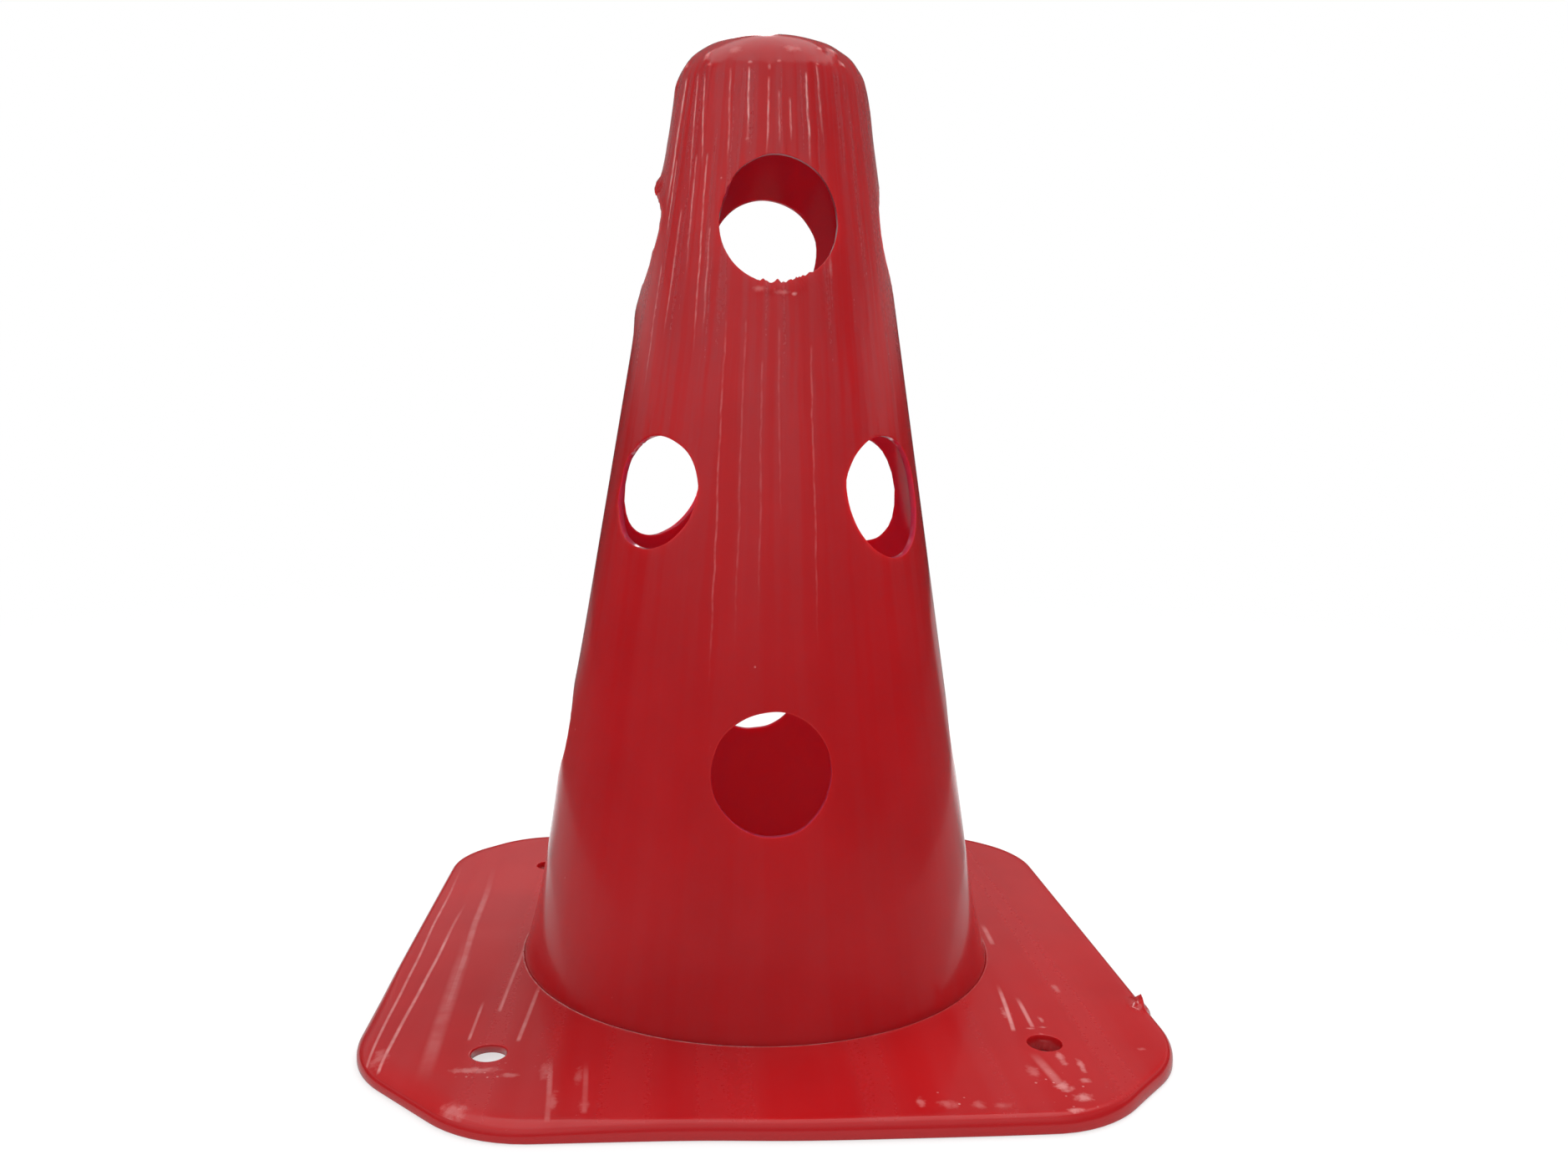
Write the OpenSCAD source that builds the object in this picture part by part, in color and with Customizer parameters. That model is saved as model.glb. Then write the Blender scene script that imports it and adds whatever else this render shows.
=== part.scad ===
// Perforated marker cone for ball games and agility courses.
// A thin tapered cone body stands up through a square base plate.
// Its foot has a flange that is trapped in a rebate under the plate.
// Millimetres, +Z up, origin on the floor at the centre of the base.

/* [Cone body] */
// Overall height above the floor
height = 300; // [260:1:380]
// Outside diameter of the straight cone where it meets the plate
foot_d = 153; // [130:1:165]
// Outside diameter that the straight cone would have at the very top
crown_d = 57; // [50:1:70]
// Thickness of the moulded wall
wall = 2; // [1.5:0.1:3.5]
// Radius that rounds the crown over to its flat top
shoulder_r = 18; // [10:0.5:20]
// Diameter of the hole in the crown for an upright pole
crown_hole_d = 26; // [14:1:28]
// How far the foot flares out beyond the straight cone
flare_out = 2; // [1:0.5:4]
// Height over which the foot flares
flare_h = 28; // [15:1:40]

/* [Pole holes] */
// Diameter of the holes that take cross poles
pole_hole_d = 35.5; // [25:0.5:38]
// Number of rows, each turned half a step from the one below
rows = 3; // [2:1:3]
// Holes in one row, in opposed pairs
holes_per_row = 4; // [2:2:4]
// Height of the lowest row's centre above the floor
low_row_z = 80; // [60:0.5:90]
// Drop of the top row's centre below the crown
top_row_drop = 59; // [50:0.5:75]

/* [Base plate] */
// Width of the plate beyond the foot, at the middle of a side
brim_w = 39.5; // [30:0.5:70]
// Thickness of the plate
plate_t = 5; // [3.5:0.5:8]
// Length that each corner's straight cut takes off the two sides
corner_cut = 33; // [22:1:42]
// Radius that rounds both ends of a corner's cut
corner_r = 36; // [10:1:36]
// Radius of the plate's rounded top edge
edge_r = 2.4; // [0.5:0.1:3]
// Diameter of the holes for ground pegs
peg_hole_d = 10; // [5:0.5:12]
// Distance from a peg hole's centre to the two sides beside it
peg_inset = 39; // [30:1:40]

/* [Foot seat] */
// Width of the flange beyond the foot
flange_w = 8; // [4:0.5:11]
// Thickness of the flange, which is the depth of its rebate
flange_t = 2; // [1:0.1:2.5]
// Gap between the cone body and the plate's opening and rebate
seat_gap = 0.15; // [0.05:0.05:0.5]

/* [Hidden] */
$fn = 96;

// Overrun of every cut past the face that it opens
over = 1;
plastic_red = [0.68, 0.11, 0.12];

// Straight side of the cone: its lean from upright and its radius at a height
taper = (foot_d - crown_d) / 2 / (height - plate_t);
lean = atan(taper);
function side_r(z) = crown_d / 2 + taper * (height - z);

// Shoulder arc, tangent to the side and to the flat top
shoulder_z = height - shoulder_r;
shoulder_x = side_r(shoulder_z + shoulder_r * sin(lean)) - shoulder_r * cos(lean);

// Hollow flare arc, tangent to the side at flare_top and ending at the plate's top face
flare_top = plate_t + flare_h;
foot_r = foot_d / 2 + flare_out;
flare_rise = flare_out * cos(lean);
flare_run = (foot_r - side_r(flare_top)) * sin(lean) + flare_h * cos(lean);
flare_r = (flare_run * flare_run + flare_rise * flare_rise) / 2 / flare_rise;
flare_x = side_r(flare_top) + flare_r * cos(lean);
flare_z = flare_top + flare_r * sin(lean);
// Inside radius of the foot's collar, one wall in from the flare's end
collar_r = flare_x - sqrt(pow(flare_r + wall, 2) - pow(flare_z - plate_t, 2));

// Rows are spaced evenly from the lowest to the top one
row_step = (height - top_row_drop - low_row_z) / (rows - 1);
function row_z(row) = low_row_z + row * row_step;
// Turn between neighbouring holes of a row
hole_turn = 360 / holes_per_row;

// Half the plate's width across its flats
plate_half = foot_r + brim_w;

// Half outline of the cone above the plate, drawn in from the outside by inset
module cone_outline(inset) {
    intersection() {
        union() {
            straight_outline(inset);
            translate([shoulder_x, shoulder_z]) circle(shoulder_r - inset);
            flare_outline(inset);
        }
        translate([0, plate_t]) square([foot_r + over, height]);
    }
}

// Straight side up to where the shoulder arc starts, then across to the flat top
module straight_outline(inset) {
    polygon([
        [0, plate_t],
        [side_r(plate_t) - inset / cos(lean), plate_t],
        [shoulder_x + (shoulder_r - inset) * cos(lean), shoulder_z + (shoulder_r - inset) * sin(lean)],
        [shoulder_x, height - inset],
        [0, height - inset]
    ]);
}

// Foot that widens towards the plate along the hollow arc
module flare_outline(inset) {
    difference() {
        polygon([
            [0, plate_t],
            [foot_r + over, plate_t],
            [side_r(flare_top) - inset * cos(lean), flare_top - inset * sin(lean)],
            [0, flare_top]
        ]);
        translate([flare_x, flare_z]) circle(flare_r + inset, $fn = 4 * $fn);
    }
}

// Cone body: shell of revolution with a collar and a flange at its foot, bored for poles
module cone_body() {
    color(plastic_red)
    difference() {
        rotate_extrude() {
            difference() {
                cone_outline(0);
                cone_outline(wall);
            }
            translate([collar_r, 0]) square([foot_r - collar_r, plate_t]);
            translate([collar_r, 0]) square([foot_r + flange_w - collar_r, flange_t]);
        }
        crown_hole();
        for (row = [0 : rows - 1]) pole_hole_row(row);
    }
}

module crown_hole() {
    translate([0, 0, shoulder_z]) cylinder(h = shoulder_r + over, d = crown_hole_d);
}

// One row of pole holes: each bore runs square across the cone and opens both walls
module pole_hole_row(row) {
    for (pair = [0 : holes_per_row / 2 - 1])
        translate([0, 0, row_z(row)])
        rotate([0, 90, (pair + row / 2) * hole_turn])
        cylinder(h = 2 * foot_r, d = pole_hole_d, center = true);
}

// Base plate: square with cut, rounded corners, open for the cone and its flange
module base_plate() {
    color(plastic_red)
    difference() {
        hull() at_corners() corner_disc();
        translate([0, 0, -over]) cylinder(h = plate_t + 2 * over, r = foot_r + seat_gap);
        translate([0, 0, -over]) cylinder(h = flange_t + over, r = foot_r + flange_w + seat_gap);
        for (side = [0 : 3])
            rotate(side * 90) translate([plate_half - peg_inset, plate_half - peg_inset, -over])
            cylinder(h = plate_t + 2 * over, d = peg_hole_d);
    }
}

// Places a shape at the centre of the rounding on both ends of every corner's cut
module at_corners() {
    flat_end = plate_half - corner_cut - corner_r * tan(45 / 2);
    for (side = [0 : 3], hand = [0, 1])
        rotate(side * 90) mirror([hand, -hand])
        translate([plate_half - corner_r, flat_end]) children();
}

// Disc as thick as the plate with its top edge rounded over
module corner_disc() {
    rotate_extrude($fn = 48) {
        square([corner_r, plate_t - edge_r]);
        square([corner_r - edge_r, plate_t]);
        translate([corner_r - edge_r, plate_t - edge_r]) circle(edge_r, $fn = 24);
    }
}

cone_body();
base_plate();
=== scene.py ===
"""Studio scene of a perforated sports marker cone.

A thin tapered cone body stands up through a square base plate. Both are woven here as fine
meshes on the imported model's sizes, with the flow marks and trimming burrs of moulded plastic.
Sizes in the classes are millimetres, and a piece is made in metres.
"""

from __future__ import annotations

import logging
import math
from abc import ABC, abstractmethod
from collections.abc import Sequence
from dataclasses import dataclass, field, replace
from enum import Enum

import bpy
import numpy as np
from mathutils import Matrix, Vector


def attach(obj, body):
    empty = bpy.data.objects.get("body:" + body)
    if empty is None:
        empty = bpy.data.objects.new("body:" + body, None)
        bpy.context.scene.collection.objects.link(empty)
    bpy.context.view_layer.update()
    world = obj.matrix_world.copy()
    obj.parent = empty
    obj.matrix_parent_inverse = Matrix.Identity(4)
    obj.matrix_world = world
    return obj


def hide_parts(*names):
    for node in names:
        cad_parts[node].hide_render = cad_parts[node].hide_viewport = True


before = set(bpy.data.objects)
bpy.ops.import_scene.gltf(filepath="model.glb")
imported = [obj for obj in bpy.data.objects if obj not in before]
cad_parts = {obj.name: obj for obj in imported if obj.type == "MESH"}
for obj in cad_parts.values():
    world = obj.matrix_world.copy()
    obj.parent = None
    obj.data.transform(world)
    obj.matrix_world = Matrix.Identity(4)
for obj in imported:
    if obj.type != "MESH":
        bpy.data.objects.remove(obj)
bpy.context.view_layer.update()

log = logging.getLogger("marker_cone")

Socket = bpy.types.NodeSocket
Array = np.ndarray
# A colour, a size or a place
Triple = tuple[float, float, float]

MM = 0.001
BAKE_MAP = "OFBake"
ROOT = "root"
FLOOR_DROP = -0.0002
# Leaves a place's x and y and drops its height
LEVEL = (1.0, 1.0, 0.0)


# ---- Meshes ----


def add_object(name: str, data: bpy.types.ID) -> bpy.types.Object:
    """Adds an object to the scene.

    Args:
        name: Its name.
        data: Its mesh, lamp or camera.

    Returns:
        The object.
    """
    made = bpy.data.objects.new(name, data)
    bpy.context.scene.collection.objects.link(made)
    return made


@dataclass(frozen=True)
class Tile:
    """A rectangle of the bake map that one patch of faces fills."""

    left: float
    low: float
    right: float
    high: float

    def place(self, across: Array, up: Array) -> Array:
        """Places in the map.

        Args:
            across: Share of the tile's width, 0 to 1.
            up: Share of the tile's height, 0 to 1.

        Returns:
            The map places, with a last axis of two.
        """
        return np.stack(
            [
                self.left + (self.right - self.left) * across,
                self.low + (self.high - self.low) * up,
            ],
            axis=-1,
        )


class ShellMesh:
    """Gathers the points, faces and map places of one closed shell."""

    def __init__(self) -> None:
        """Starts with no points."""
        self._points: list[Array] = []
        self._coords: list[Array] = []
        self._corners: list[Array] = []
        self._places: list[Array] = []
        self._count = 0

    def add_points(self, points: Array, coords: Array | None = None) -> Array:
        """Adds points in millimetres.

        Args:
            points: The points, with a last axis of three.
            coords: Each point's two coordinates on its skin, if it lies on one.

        Returns:
            The points' numbers, in the shape of the array without its last axis.
        """
        flat = points.reshape(-1, 3)
        self._points.append(flat)
        self._coords.append(np.zeros((len(flat), 2)) if coords is None else coords.reshape(-1, 2))
        start, self._count = self._count, self._count + len(flat)
        return np.arange(start, self._count).reshape(points.shape[:-1])

    def coords(self) -> Array:
        """Every point's two skin coordinates so far."""
        return np.concatenate(self._coords)

    def point(self, numbers: Array) -> Array:
        """The points with these numbers, in millimetres."""
        return np.concatenate(self._points)[numbers]

    def add_faces(self, corners: Array, places: Array) -> None:
        """Adds faces.

        Args:
            corners: Point numbers, one row for each face.
            places: The map place of each corner.
        """
        self._corners.append(corners)
        self._places.append(places)

    def add_band(self, loops: Sequence[Array], tile: Tile, mirrored: bool = False) -> None:
        """Joins closed loops of points by a band of faces.

        Where a loop has half the points of the one before it, three-sided faces take up the step.

        Args:
            loops: Point numbers of each loop, from one edge of the band to the other.
            tile: The part of the map that the band fills.
            mirrored: True where the loops run the other way, so that the faces look out.
        """
        if mirrored:
            loops = [np.roll(loop[::-1], 1) for loop in loops]
        steps = len(loops) - 1
        for step, (one, two) in enumerate(zip(loops, loops[1:])):
            low, high = step / steps, (step + 1) / steps
            size = len(one)
            if len(two) == size:
                start = np.arange(size)
                end = start + 1
                across = np.stack([start, end, end, start], 1) / size
                up = np.broadcast_to([low, low, high, high], across.shape)
                corners = np.stack([one, one[end % size], two[end % size], two], 1)
                self.add_faces(corners, tile.place(across, up))
                continue
            half = np.arange(size // 2)
            after = two[(half + 1) % len(two)]
            mid, end = 2 * half + 1, 2 * half + 2
            across = np.stack([2 * half, mid, mid], 1) / size
            up = np.broadcast_to([low, low, high], across.shape)
            self.add_faces(np.stack([one[2 * half], one[mid], two], 1), tile.place(across, up))
            across = np.stack([mid, end, end, mid], 1) / size
            up = np.broadcast_to([low, low, high, high], across.shape)
            corners = np.stack([one[mid], one[end % size], after, two], 1)
            self.add_faces(corners, tile.place(across, up))

    def build(self, name: str) -> bpy.types.Object:
        """Makes the piece, in metres and smooth, with its bake map.

        Args:
            name: The piece's name.

        Returns:
            The new object, linked to the scene.
        """
        points = np.concatenate(self._points)
        used = np.unique(np.concatenate([c.ravel() for c in self._corners]))
        number = np.full(len(points), -1)
        number[used] = np.arange(len(used))
        faces = [row for c in self._corners for row in number[c].tolist()]
        mesh = bpy.data.meshes.new(name)
        mesh.from_pydata((points[used] * MM).tolist(), [], faces)
        layer = mesh.uv_layers.new(name=BAKE_MAP)
        layer.data.foreach_set("uv", np.concatenate([p.ravel() for p in self._places]))
        mesh.polygons.foreach_set("use_smooth", [True] * len(faces))
        mesh.update()
        return add_object(name, mesh)


@dataclass(frozen=True)
class Opening:
    """A round opening in a skin, and the block of cells that its rings take the place of."""

    name: str
    azimuth: float
    level: float
    row: int
    column: int
    half_rows: int
    half_columns: int

    def halved(self) -> Opening:
        """The same opening in a skin with half the rows and columns."""
        counts = ("row", "column", "half_rows", "half_columns")
        return replace(self, **{key: getattr(self, key) // 2 for key in counts})

    def edge(self) -> tuple[Array, Array]:
        """Finds the points on the edge of the block.

        Returns:
            Their row numbers and their column numbers, anticlockwise from the lower left corner.
        """
        h, w = self.half_rows, self.half_columns
        across, up = np.arange(-w, w), np.arange(-h, h)
        rows = np.concatenate([np.full(2 * w, -h), up, np.full(2 * w, h), -up])
        columns = np.concatenate([across, np.full(2 * h, w), -across, np.full(2 * h, -w)])
        return self.row + rows, self.column + columns


class Skin(ABC):
    """A surface over azimuth and level, woven as a grid with round openings.

    Azimuth runs from the front, -Y, towards +X. Level is the skin's own second coordinate.
    """

    rings = 8

    def __init__(
        self, shell: ShellMesh, columns: int, levels: Array, tile: Tile, inward: bool
    ) -> None:
        """Sets the grid.

        Args:
            shell: The mesh that the skin belongs to.
            columns: Points round the axis.
            levels: Level of each row.
            tile: The part of the map that the skin fills.
            inward: True where the face normals point against the level and azimuth frame.
        """
        self.shell = shell
        self.azimuths = full_turn(columns)
        self.levels = levels
        self.tile = tile
        self.inward = inward

    @abstractmethod
    def points(self, azimuth: Array, level: Array) -> Array:
        """Places points of the skin.

        Args:
            azimuth: Azimuth of each point.
            level: Its level.

        Returns:
            The points in millimetres.
        """

    @abstractmethod
    def rim(self, opening: Opening, azimuth: Array, level: Array) -> tuple[Array, Array]:
        """Finds an opening's rim.

        Args:
            opening: The opening.
            azimuth: Azimuths of points round it.
            level: Their levels.

        Returns:
            The azimuths and levels of the rim, facing each point.
        """

    def weave(self, openings: Sequence[Opening]) -> tuple[Array, list[Array]]:
        """Adds the skin to the mesh.

        Args:
            openings: The round openings in it.

        Returns:
            The grid of point numbers, and the loop of point numbers round each opening.
        """
        rows, columns = len(self.levels), len(self.azimuths)
        azimuth, level = np.meshgrid(self.azimuths, self.levels)
        grid = self._add(azimuth, level)
        keep = np.ones((rows - 1, columns), bool)
        for one in openings:
            wide = np.arange(-one.half_columns, one.half_columns)
            high = slice(one.row - one.half_rows, one.row + one.half_rows)
            keep[high, (one.column + wide) % columns] = False
        right = np.roll(grid, -1, axis=1)
        corners = np.stack([grid[:-1], right[:-1], right[1:], grid[1:]], -1)[keep]
        loops = []
        patches = [corners]
        for one in openings:
            row, column = one.edge()
            start = grid[row, column % columns]
            turned = self.azimuths[0] + 2 * math.pi * column / columns
            rim_azimuth, rim_level = self.rim(one, turned, self.levels[row])
            share = 1 - (1 - np.arange(1, self.rings + 1) / self.rings) ** 1.5
            ring_azimuth = turned + share[:, None] * (rim_azimuth - turned)
            ring_level = self.levels[row] + share[:, None] * (rim_level - self.levels[row])
            ring = np.concatenate([start[None], self._add(ring_azimuth, ring_level)])
            ahead = np.roll(ring, -1, axis=1)
            patches.append(
                np.stack([ring[:-1], ahead[:-1], ahead[1:], ring[1:]], -1).reshape(-1, 4)
            )
            loops.append(ring[-1])
        self._cover(np.concatenate(patches))
        return grid, loops

    def _add(self, azimuth: Array, level: Array) -> Array:
        """Adds the points at these coordinates and returns their numbers."""
        return self.shell.add_points(self.points(azimuth, level), np.stack([azimuth, level], -1))

    def _cover(self, corners: Array) -> None:
        """Adds faces with their places in the map, each face on one side of the rear seam.

        Args:
            corners: Point numbers, one row for each face.
        """
        if self.inward:
            corners = corners[:, ::-1]
        coords = self.shell.coords()[corners]
        azimuth, level = coords[..., 0], coords[..., 1]
        turn = 2 * math.pi
        azimuth = azimuth - turn * np.round((azimuth - azimuth[:, :1]) / turn)
        middle = azimuth.mean(axis=1, keepdims=True)
        azimuth = azimuth - turn * np.floor(middle / turn + 0.5)
        margin = 0.012
        across = margin + (1 - 2 * margin) * (azimuth / turn + 0.5)
        span = self.levels.max() - self.levels.min()
        self.shell.add_faces(corners, self.tile.place(across, (level - self.levels.min()) / span))


class SubAssembly(ABC):
    """One moulding of the cone: it weaves its own mesh and takes its own finish."""

    name: str
    node: str
    slot: str
    finish: MouldedPlastic

    @abstractmethod
    def weave(self) -> ShellMesh:
        """The whole closed shell of the moulding."""

    def dress(self, piece: bpy.types.Object) -> None:
        """Gives the piece its plastic."""
        piece.data.materials.append(self.finish.material())

    def make(self) -> bpy.types.Object:
        """Makes, dresses and places the moulding.

        Returns:
            The piece, riding on the part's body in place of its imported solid.
        """
        piece = self.weave().build(self.name)
        self.dress(piece)
        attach(piece, ROOT)
        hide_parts(self.node)
        log.info("%s: %d faces", self.name, len(piece.data.polygons))
        return piece


class Ripple:
    """A smooth seeded curve over an angle, which closes on itself after a full turn."""

    def __init__(self, seed: int, fewest: int, most: int) -> None:
        """Draws the curve's waves.

        Args:
            seed: Seed of the draw.
            fewest: Waves to a turn of the longest one.
            most: Waves to a turn of the shortest one.
        """
        rng = np.random.default_rng(seed)
        self._turns = np.unique(np.geomspace(fewest, most, 14).astype(int))
        self._phases = rng.uniform(0, 2 * math.pi, self._turns.size)
        self._sizes = np.sqrt(fewest / self._turns) * rng.uniform(0.6, 1.4, self._turns.size)
        self._sizes /= np.sqrt((self._sizes**2).sum() / 2)

    def at(self, angle: Array) -> Array:
        """The curve's value, about -2 to 2, at each angle."""
        turned = np.multiply.outer(angle, self._turns) + self._phases
        return (np.sin(turned) * self._sizes).sum(axis=-1)


class Wander:
    """A smooth seeded curve that wanders about zero."""

    def __init__(self, seed: int, longest: float, shortest: float, waves: int = 6) -> None:
        """Draws the curve's waves.

        Args:
            seed: Seed of the draw.
            longest: Length of the longest wave.
            shortest: Length of the shortest wave.
            waves: How many waves it has.
        """
        rng = np.random.default_rng(seed)
        lengths = np.geomspace(longest, shortest, waves)
        self._turns = 2 * math.pi / (lengths * rng.uniform(0.85, 1.15, waves))
        self._phases = rng.uniform(0, 2 * math.pi, waves)
        self._sizes = np.sqrt(lengths / lengths[0])
        self._sizes /= np.sqrt((self._sizes**2).sum() / 2)

    def at(self, where: Array) -> Array:
        """The curve's value, about -2 to 2, at each place."""
        angle = np.multiply.outer(where, self._turns) + self._phases
        return (np.sin(angle) * self._sizes).sum(axis=-1)


def full_turn(count: int) -> Array:
    """Azimuths of this many points, evenly round from the rear."""
    return -math.pi + 2 * math.pi * np.arange(count) / count


def around(azimuth: Array, radius: Array, z: Array | float) -> Array:
    """Points at these azimuths, distances from the axis and heights."""
    x = radius * np.sin(azimuth)
    return np.stack([x, -radius * np.cos(azimuth), np.broadcast_to(z, x.shape)], -1)


def smooth_step(low: float, high: float, value: Array) -> Array:
    """Rises smoothly from 0 at low to 1 at high."""
    share = np.clip((value - low) / (high - low), 0, 1)
    return share * share * (3 - 2 * share)


def wrapped(angle: Array) -> Array:
    """The angle between minus and plus half a turn."""
    return (angle + math.pi) % (2 * math.pi) - math.pi


# ---- Cone body ----


class Row(Enum):
    """The three rows of pole holes: number of steps up, and half turns of the first hole."""

    LOW = (0, 0.0)
    MIDDLE = (1, 0.5)
    TOP = (2, 0.0)


@dataclass(frozen=True)
class Lump:
    """A small round swelling on the cone: azimuth in degrees, the rest in millimetres."""

    azimuth: float
    z: float
    wide: float
    tall: float
    high: float


@dataclass
class FlowMarks:
    """Relief that the cooling plastic left on the outside of the cone."""

    seed: int = 11
    ridges: int = 52
    ridge_width: float = 0.55
    ridge_height: float = 0.055
    top: float = 286.0
    reach: float = 175.0
    lumps: tuple[Lump, ...] = ()

    def __post_init__(self) -> None:
        """Draws the ridges round the cone."""
        rng = np.random.default_rng(self.seed)
        step = 2 * math.pi / self.ridges
        place = -math.pi + step * (np.arange(self.ridges) + rng.uniform(0.1, 0.9, self.ridges))
        self._place = place
        self._wide = self.ridge_width * rng.uniform(0.7, 1.9, self.ridges)
        self._high = self.ridge_height * rng.uniform(0.3, 1.5, self.ridges)
        self._end = self.top - self.reach * rng.uniform(0.15, 1.0, self.ridges) ** 0.8
        self._start = self.top + rng.uniform(-9.0, 3.0, self.ridges)
        self._sway = [Wander(self.seed * 100 + k, 70, 6) for k in range(self.ridges)]
        self._swell = [Wander(self.seed * 200 + k, 60, 8) for k in range(self.ridges)]
        self._broad = Ripple(self.seed + 1, 9, 150)
        self._drift = Wander(self.seed + 2, 160, 40)

    def height(self, azimuth: Array, z: Array, radius: Array) -> Array:
        """How far the skin stands out.

        Args:
            azimuth: Azimuth of each point.
            z: Its height above the floor.
            radius: The plain cone's radius there.

        Returns:
            The relief in millimetres.
        """
        azimuth, z, radius = (a.ravel() for a in np.broadcast_arrays(azimuth, z, radius))
        high = np.zeros(azimuth.shape)
        for k in range(self.ridges):
            gap = wrapped(azimuth - self._place[k]) * radius
            near = np.abs(gap) < 6 * self._wide[k]
            near &= (z > self._end[k] - 20) & (z < self._start[k] + 3)
            if not near.any():
                continue
            up = z[near]
            off = gap[near] - 0.45 * self._sway[k].at(up)
            fade = smooth_step(self._end[k] - 20, self._end[k] + 35, up)
            fade *= 1 - smooth_step(self._start[k] - 1.5, self._start[k] + 2.5, up)
            swell = 1 + 0.45 * self._swell[k].at(up)
            high[near] += self._high[k] * fade * swell * np.exp(-((off / self._wide[k]) ** 2))
        fade = smooth_step(60, 260, z) * (1 - smooth_step(284, 294, z))
        high += 0.05 * fade * self._broad.at(azimuth + 0.004 * self._drift.at(z))
        for lump in self.lumps:
            gap = wrapped(azimuth - math.radians(lump.azimuth)) * radius / lump.wide
            high += lump.high * np.exp(-(gap**2) - ((z - lump.z) / lump.tall) ** 2)
        return high


@dataclass
class ConeBody(SubAssembly):
    """The tapered shell with its staggered pole holes, open crown, flared foot and flange."""

    finish: MouldedPlastic
    name: str = "cone_shell"
    node: str = "cone_body"
    slot: str = "cone_plastic"
    height: float = 300.0
    foot_radius: float = 76.5
    crown_radius: float = 28.5
    wall: float = 2.0
    shoulder: float = 18.0
    crown_hole: float = 13.0
    flare_out: float = 2.0
    flare_height: float = 28.0
    collar_height: float = 5.0
    hole_radius: float = 17.75
    low_row: float = 80.0
    row_step: float = 80.5
    flange_width: float = 8.0
    flange_height: float = 2.0
    columns: int = 480
    steps_to_row: int = 26
    shoulder_rows: int = 26
    hole_rounding: float = 0.07
    edge_rounding: float = 0.4
    marks: FlowMarks = field(default_factory=FlowMarks)
    burrs: tuple[Burr, ...] = ()
    trims: dict[str, Trim] = field(default_factory=dict)

    def __post_init__(self) -> None:
        """Works out the outline's tangent points and how the holes were trimmed."""
        self.taper = (self.foot_radius - self.crown_radius) / (self.height - self.collar_height)
        self.lean = math.atan(self.taper)
        self.shoulder_z = self.height - self.shoulder
        side = self.side(self.shoulder_z + self.shoulder * math.sin(self.lean))
        self.shoulder_x = side - self.shoulder * math.cos(self.lean)
        self.flare_top = self.collar_height + self.flare_height
        self.foot_outer = self.foot_radius + self.flare_out
        rise = self.flare_out * math.cos(self.lean)
        run = (self.foot_outer - self.side(self.flare_top)) * math.sin(self.lean)
        run += self.flare_height * math.cos(self.lean)
        self.flare_radius = (run * run + rise * rise) / (2 * rise)
        self.flare_x = self.side(self.flare_top) + self.flare_radius * math.cos(self.lean)
        self.flare_z = self.flare_top + self.flare_radius * math.sin(self.lean)
        self.edges = Edges(self, self.burrs, self.trims)

    def side(self, z: float | Array) -> float | Array:
        """Outside radius of the straight cone at a height."""
        return self.crown_radius + self.taper * (self.height - z)

    def flare(self, z: Array, inset: float) -> Array:
        """Radius of the flared foot at a height, drawn in by inset."""
        reach = self.flare_radius + inset
        return self.flare_x - np.sqrt(reach**2 - (self.flare_z - z) ** 2)

    def heights(self, step: int) -> Array:
        """Heights of the rows on the straight side.

        Args:
            step: 1 for every row, 2 for every second one.

        Returns:
            The heights, which pass through the centre of every row of holes.
        """
        pitch = self.row_step / self.steps_to_row
        low = math.ceil((self.flare_top - self.low_row) / pitch / 2) * 2
        shoulder_low = self.shoulder_z + self.shoulder * math.sin(self.lean)
        high = math.floor((shoulder_low - self.low_row) / pitch / 2) * 2
        return self.low_row + pitch * np.arange(low, high + 1, step)

    def outline(self, inset: float, step: int) -> Array:
        """Outline of one side of the wall from the foot's collar to the flat top.

        Args:
            inset: 0 for the outside, the wall's thickness for the inside.
            step: 1 for every row, 2 for every second one.

        Returns:
            Rows of radius, height, and the two parts of the normal.
        """
        flare_z = np.linspace(self.collar_height, self.flare_top, 12 // step + 1)
        flare_r = self.flare(flare_z, inset)
        reach = self.flare_radius + inset
        flare = np.stack(
            [flare_r, flare_z, (self.flare_x - flare_r) / reach, (self.flare_z - flare_z) / reach],
            1,
        )
        z = self.heights(step)
        cos, sin = math.cos(self.lean), math.sin(self.lean)
        side_r = self.side(z) - inset / cos
        side = np.stack([side_r, z, np.full(len(z), cos), np.full(len(z), sin)], 1)
        turn = np.linspace(self.lean, math.pi / 2, self.shoulder_rows // step)
        round_over = self.shoulder - inset
        arc = np.stack(
            [
                self.shoulder_x + round_over * np.cos(turn),
                self.shoulder_z + round_over * np.sin(turn),
                np.cos(turn),
                np.sin(turn),
            ],
            1,
        )
        return np.concatenate([flare, side, arc])

    def openings(self) -> list[Opening]:
        """Lays out the twelve pole holes in the outer skin.

        Returns:
            The openings, lowest row first.
        """
        first = len(self.outline(0, 1)) - len(self.heights(1)) - self.shoulder_rows
        low = int(round((self.low_row - self.heights(1)[0]) / (self.row_step / self.steps_to_row)))
        half_columns = {Row.LOW: 30, Row.MIDDLE: 36, Row.TOP: 50}
        made = []
        for row in Row:
            up, turn = row.value
            for quarter in range(4):
                azimuth = wrapped(np.array((quarter + turn) * math.pi / 2)).item()
                column = round((azimuth + math.pi) / (2 * math.pi) * self.columns)
                made.append(
                    Opening(
                        f"{row.name.lower()}_{quarter}",
                        azimuth,
                        self.low_row + up * self.row_step,
                        first + low + up * self.steps_to_row,
                        column,
                        10,
                        half_columns[row],
                    )
                )
        return made

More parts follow.
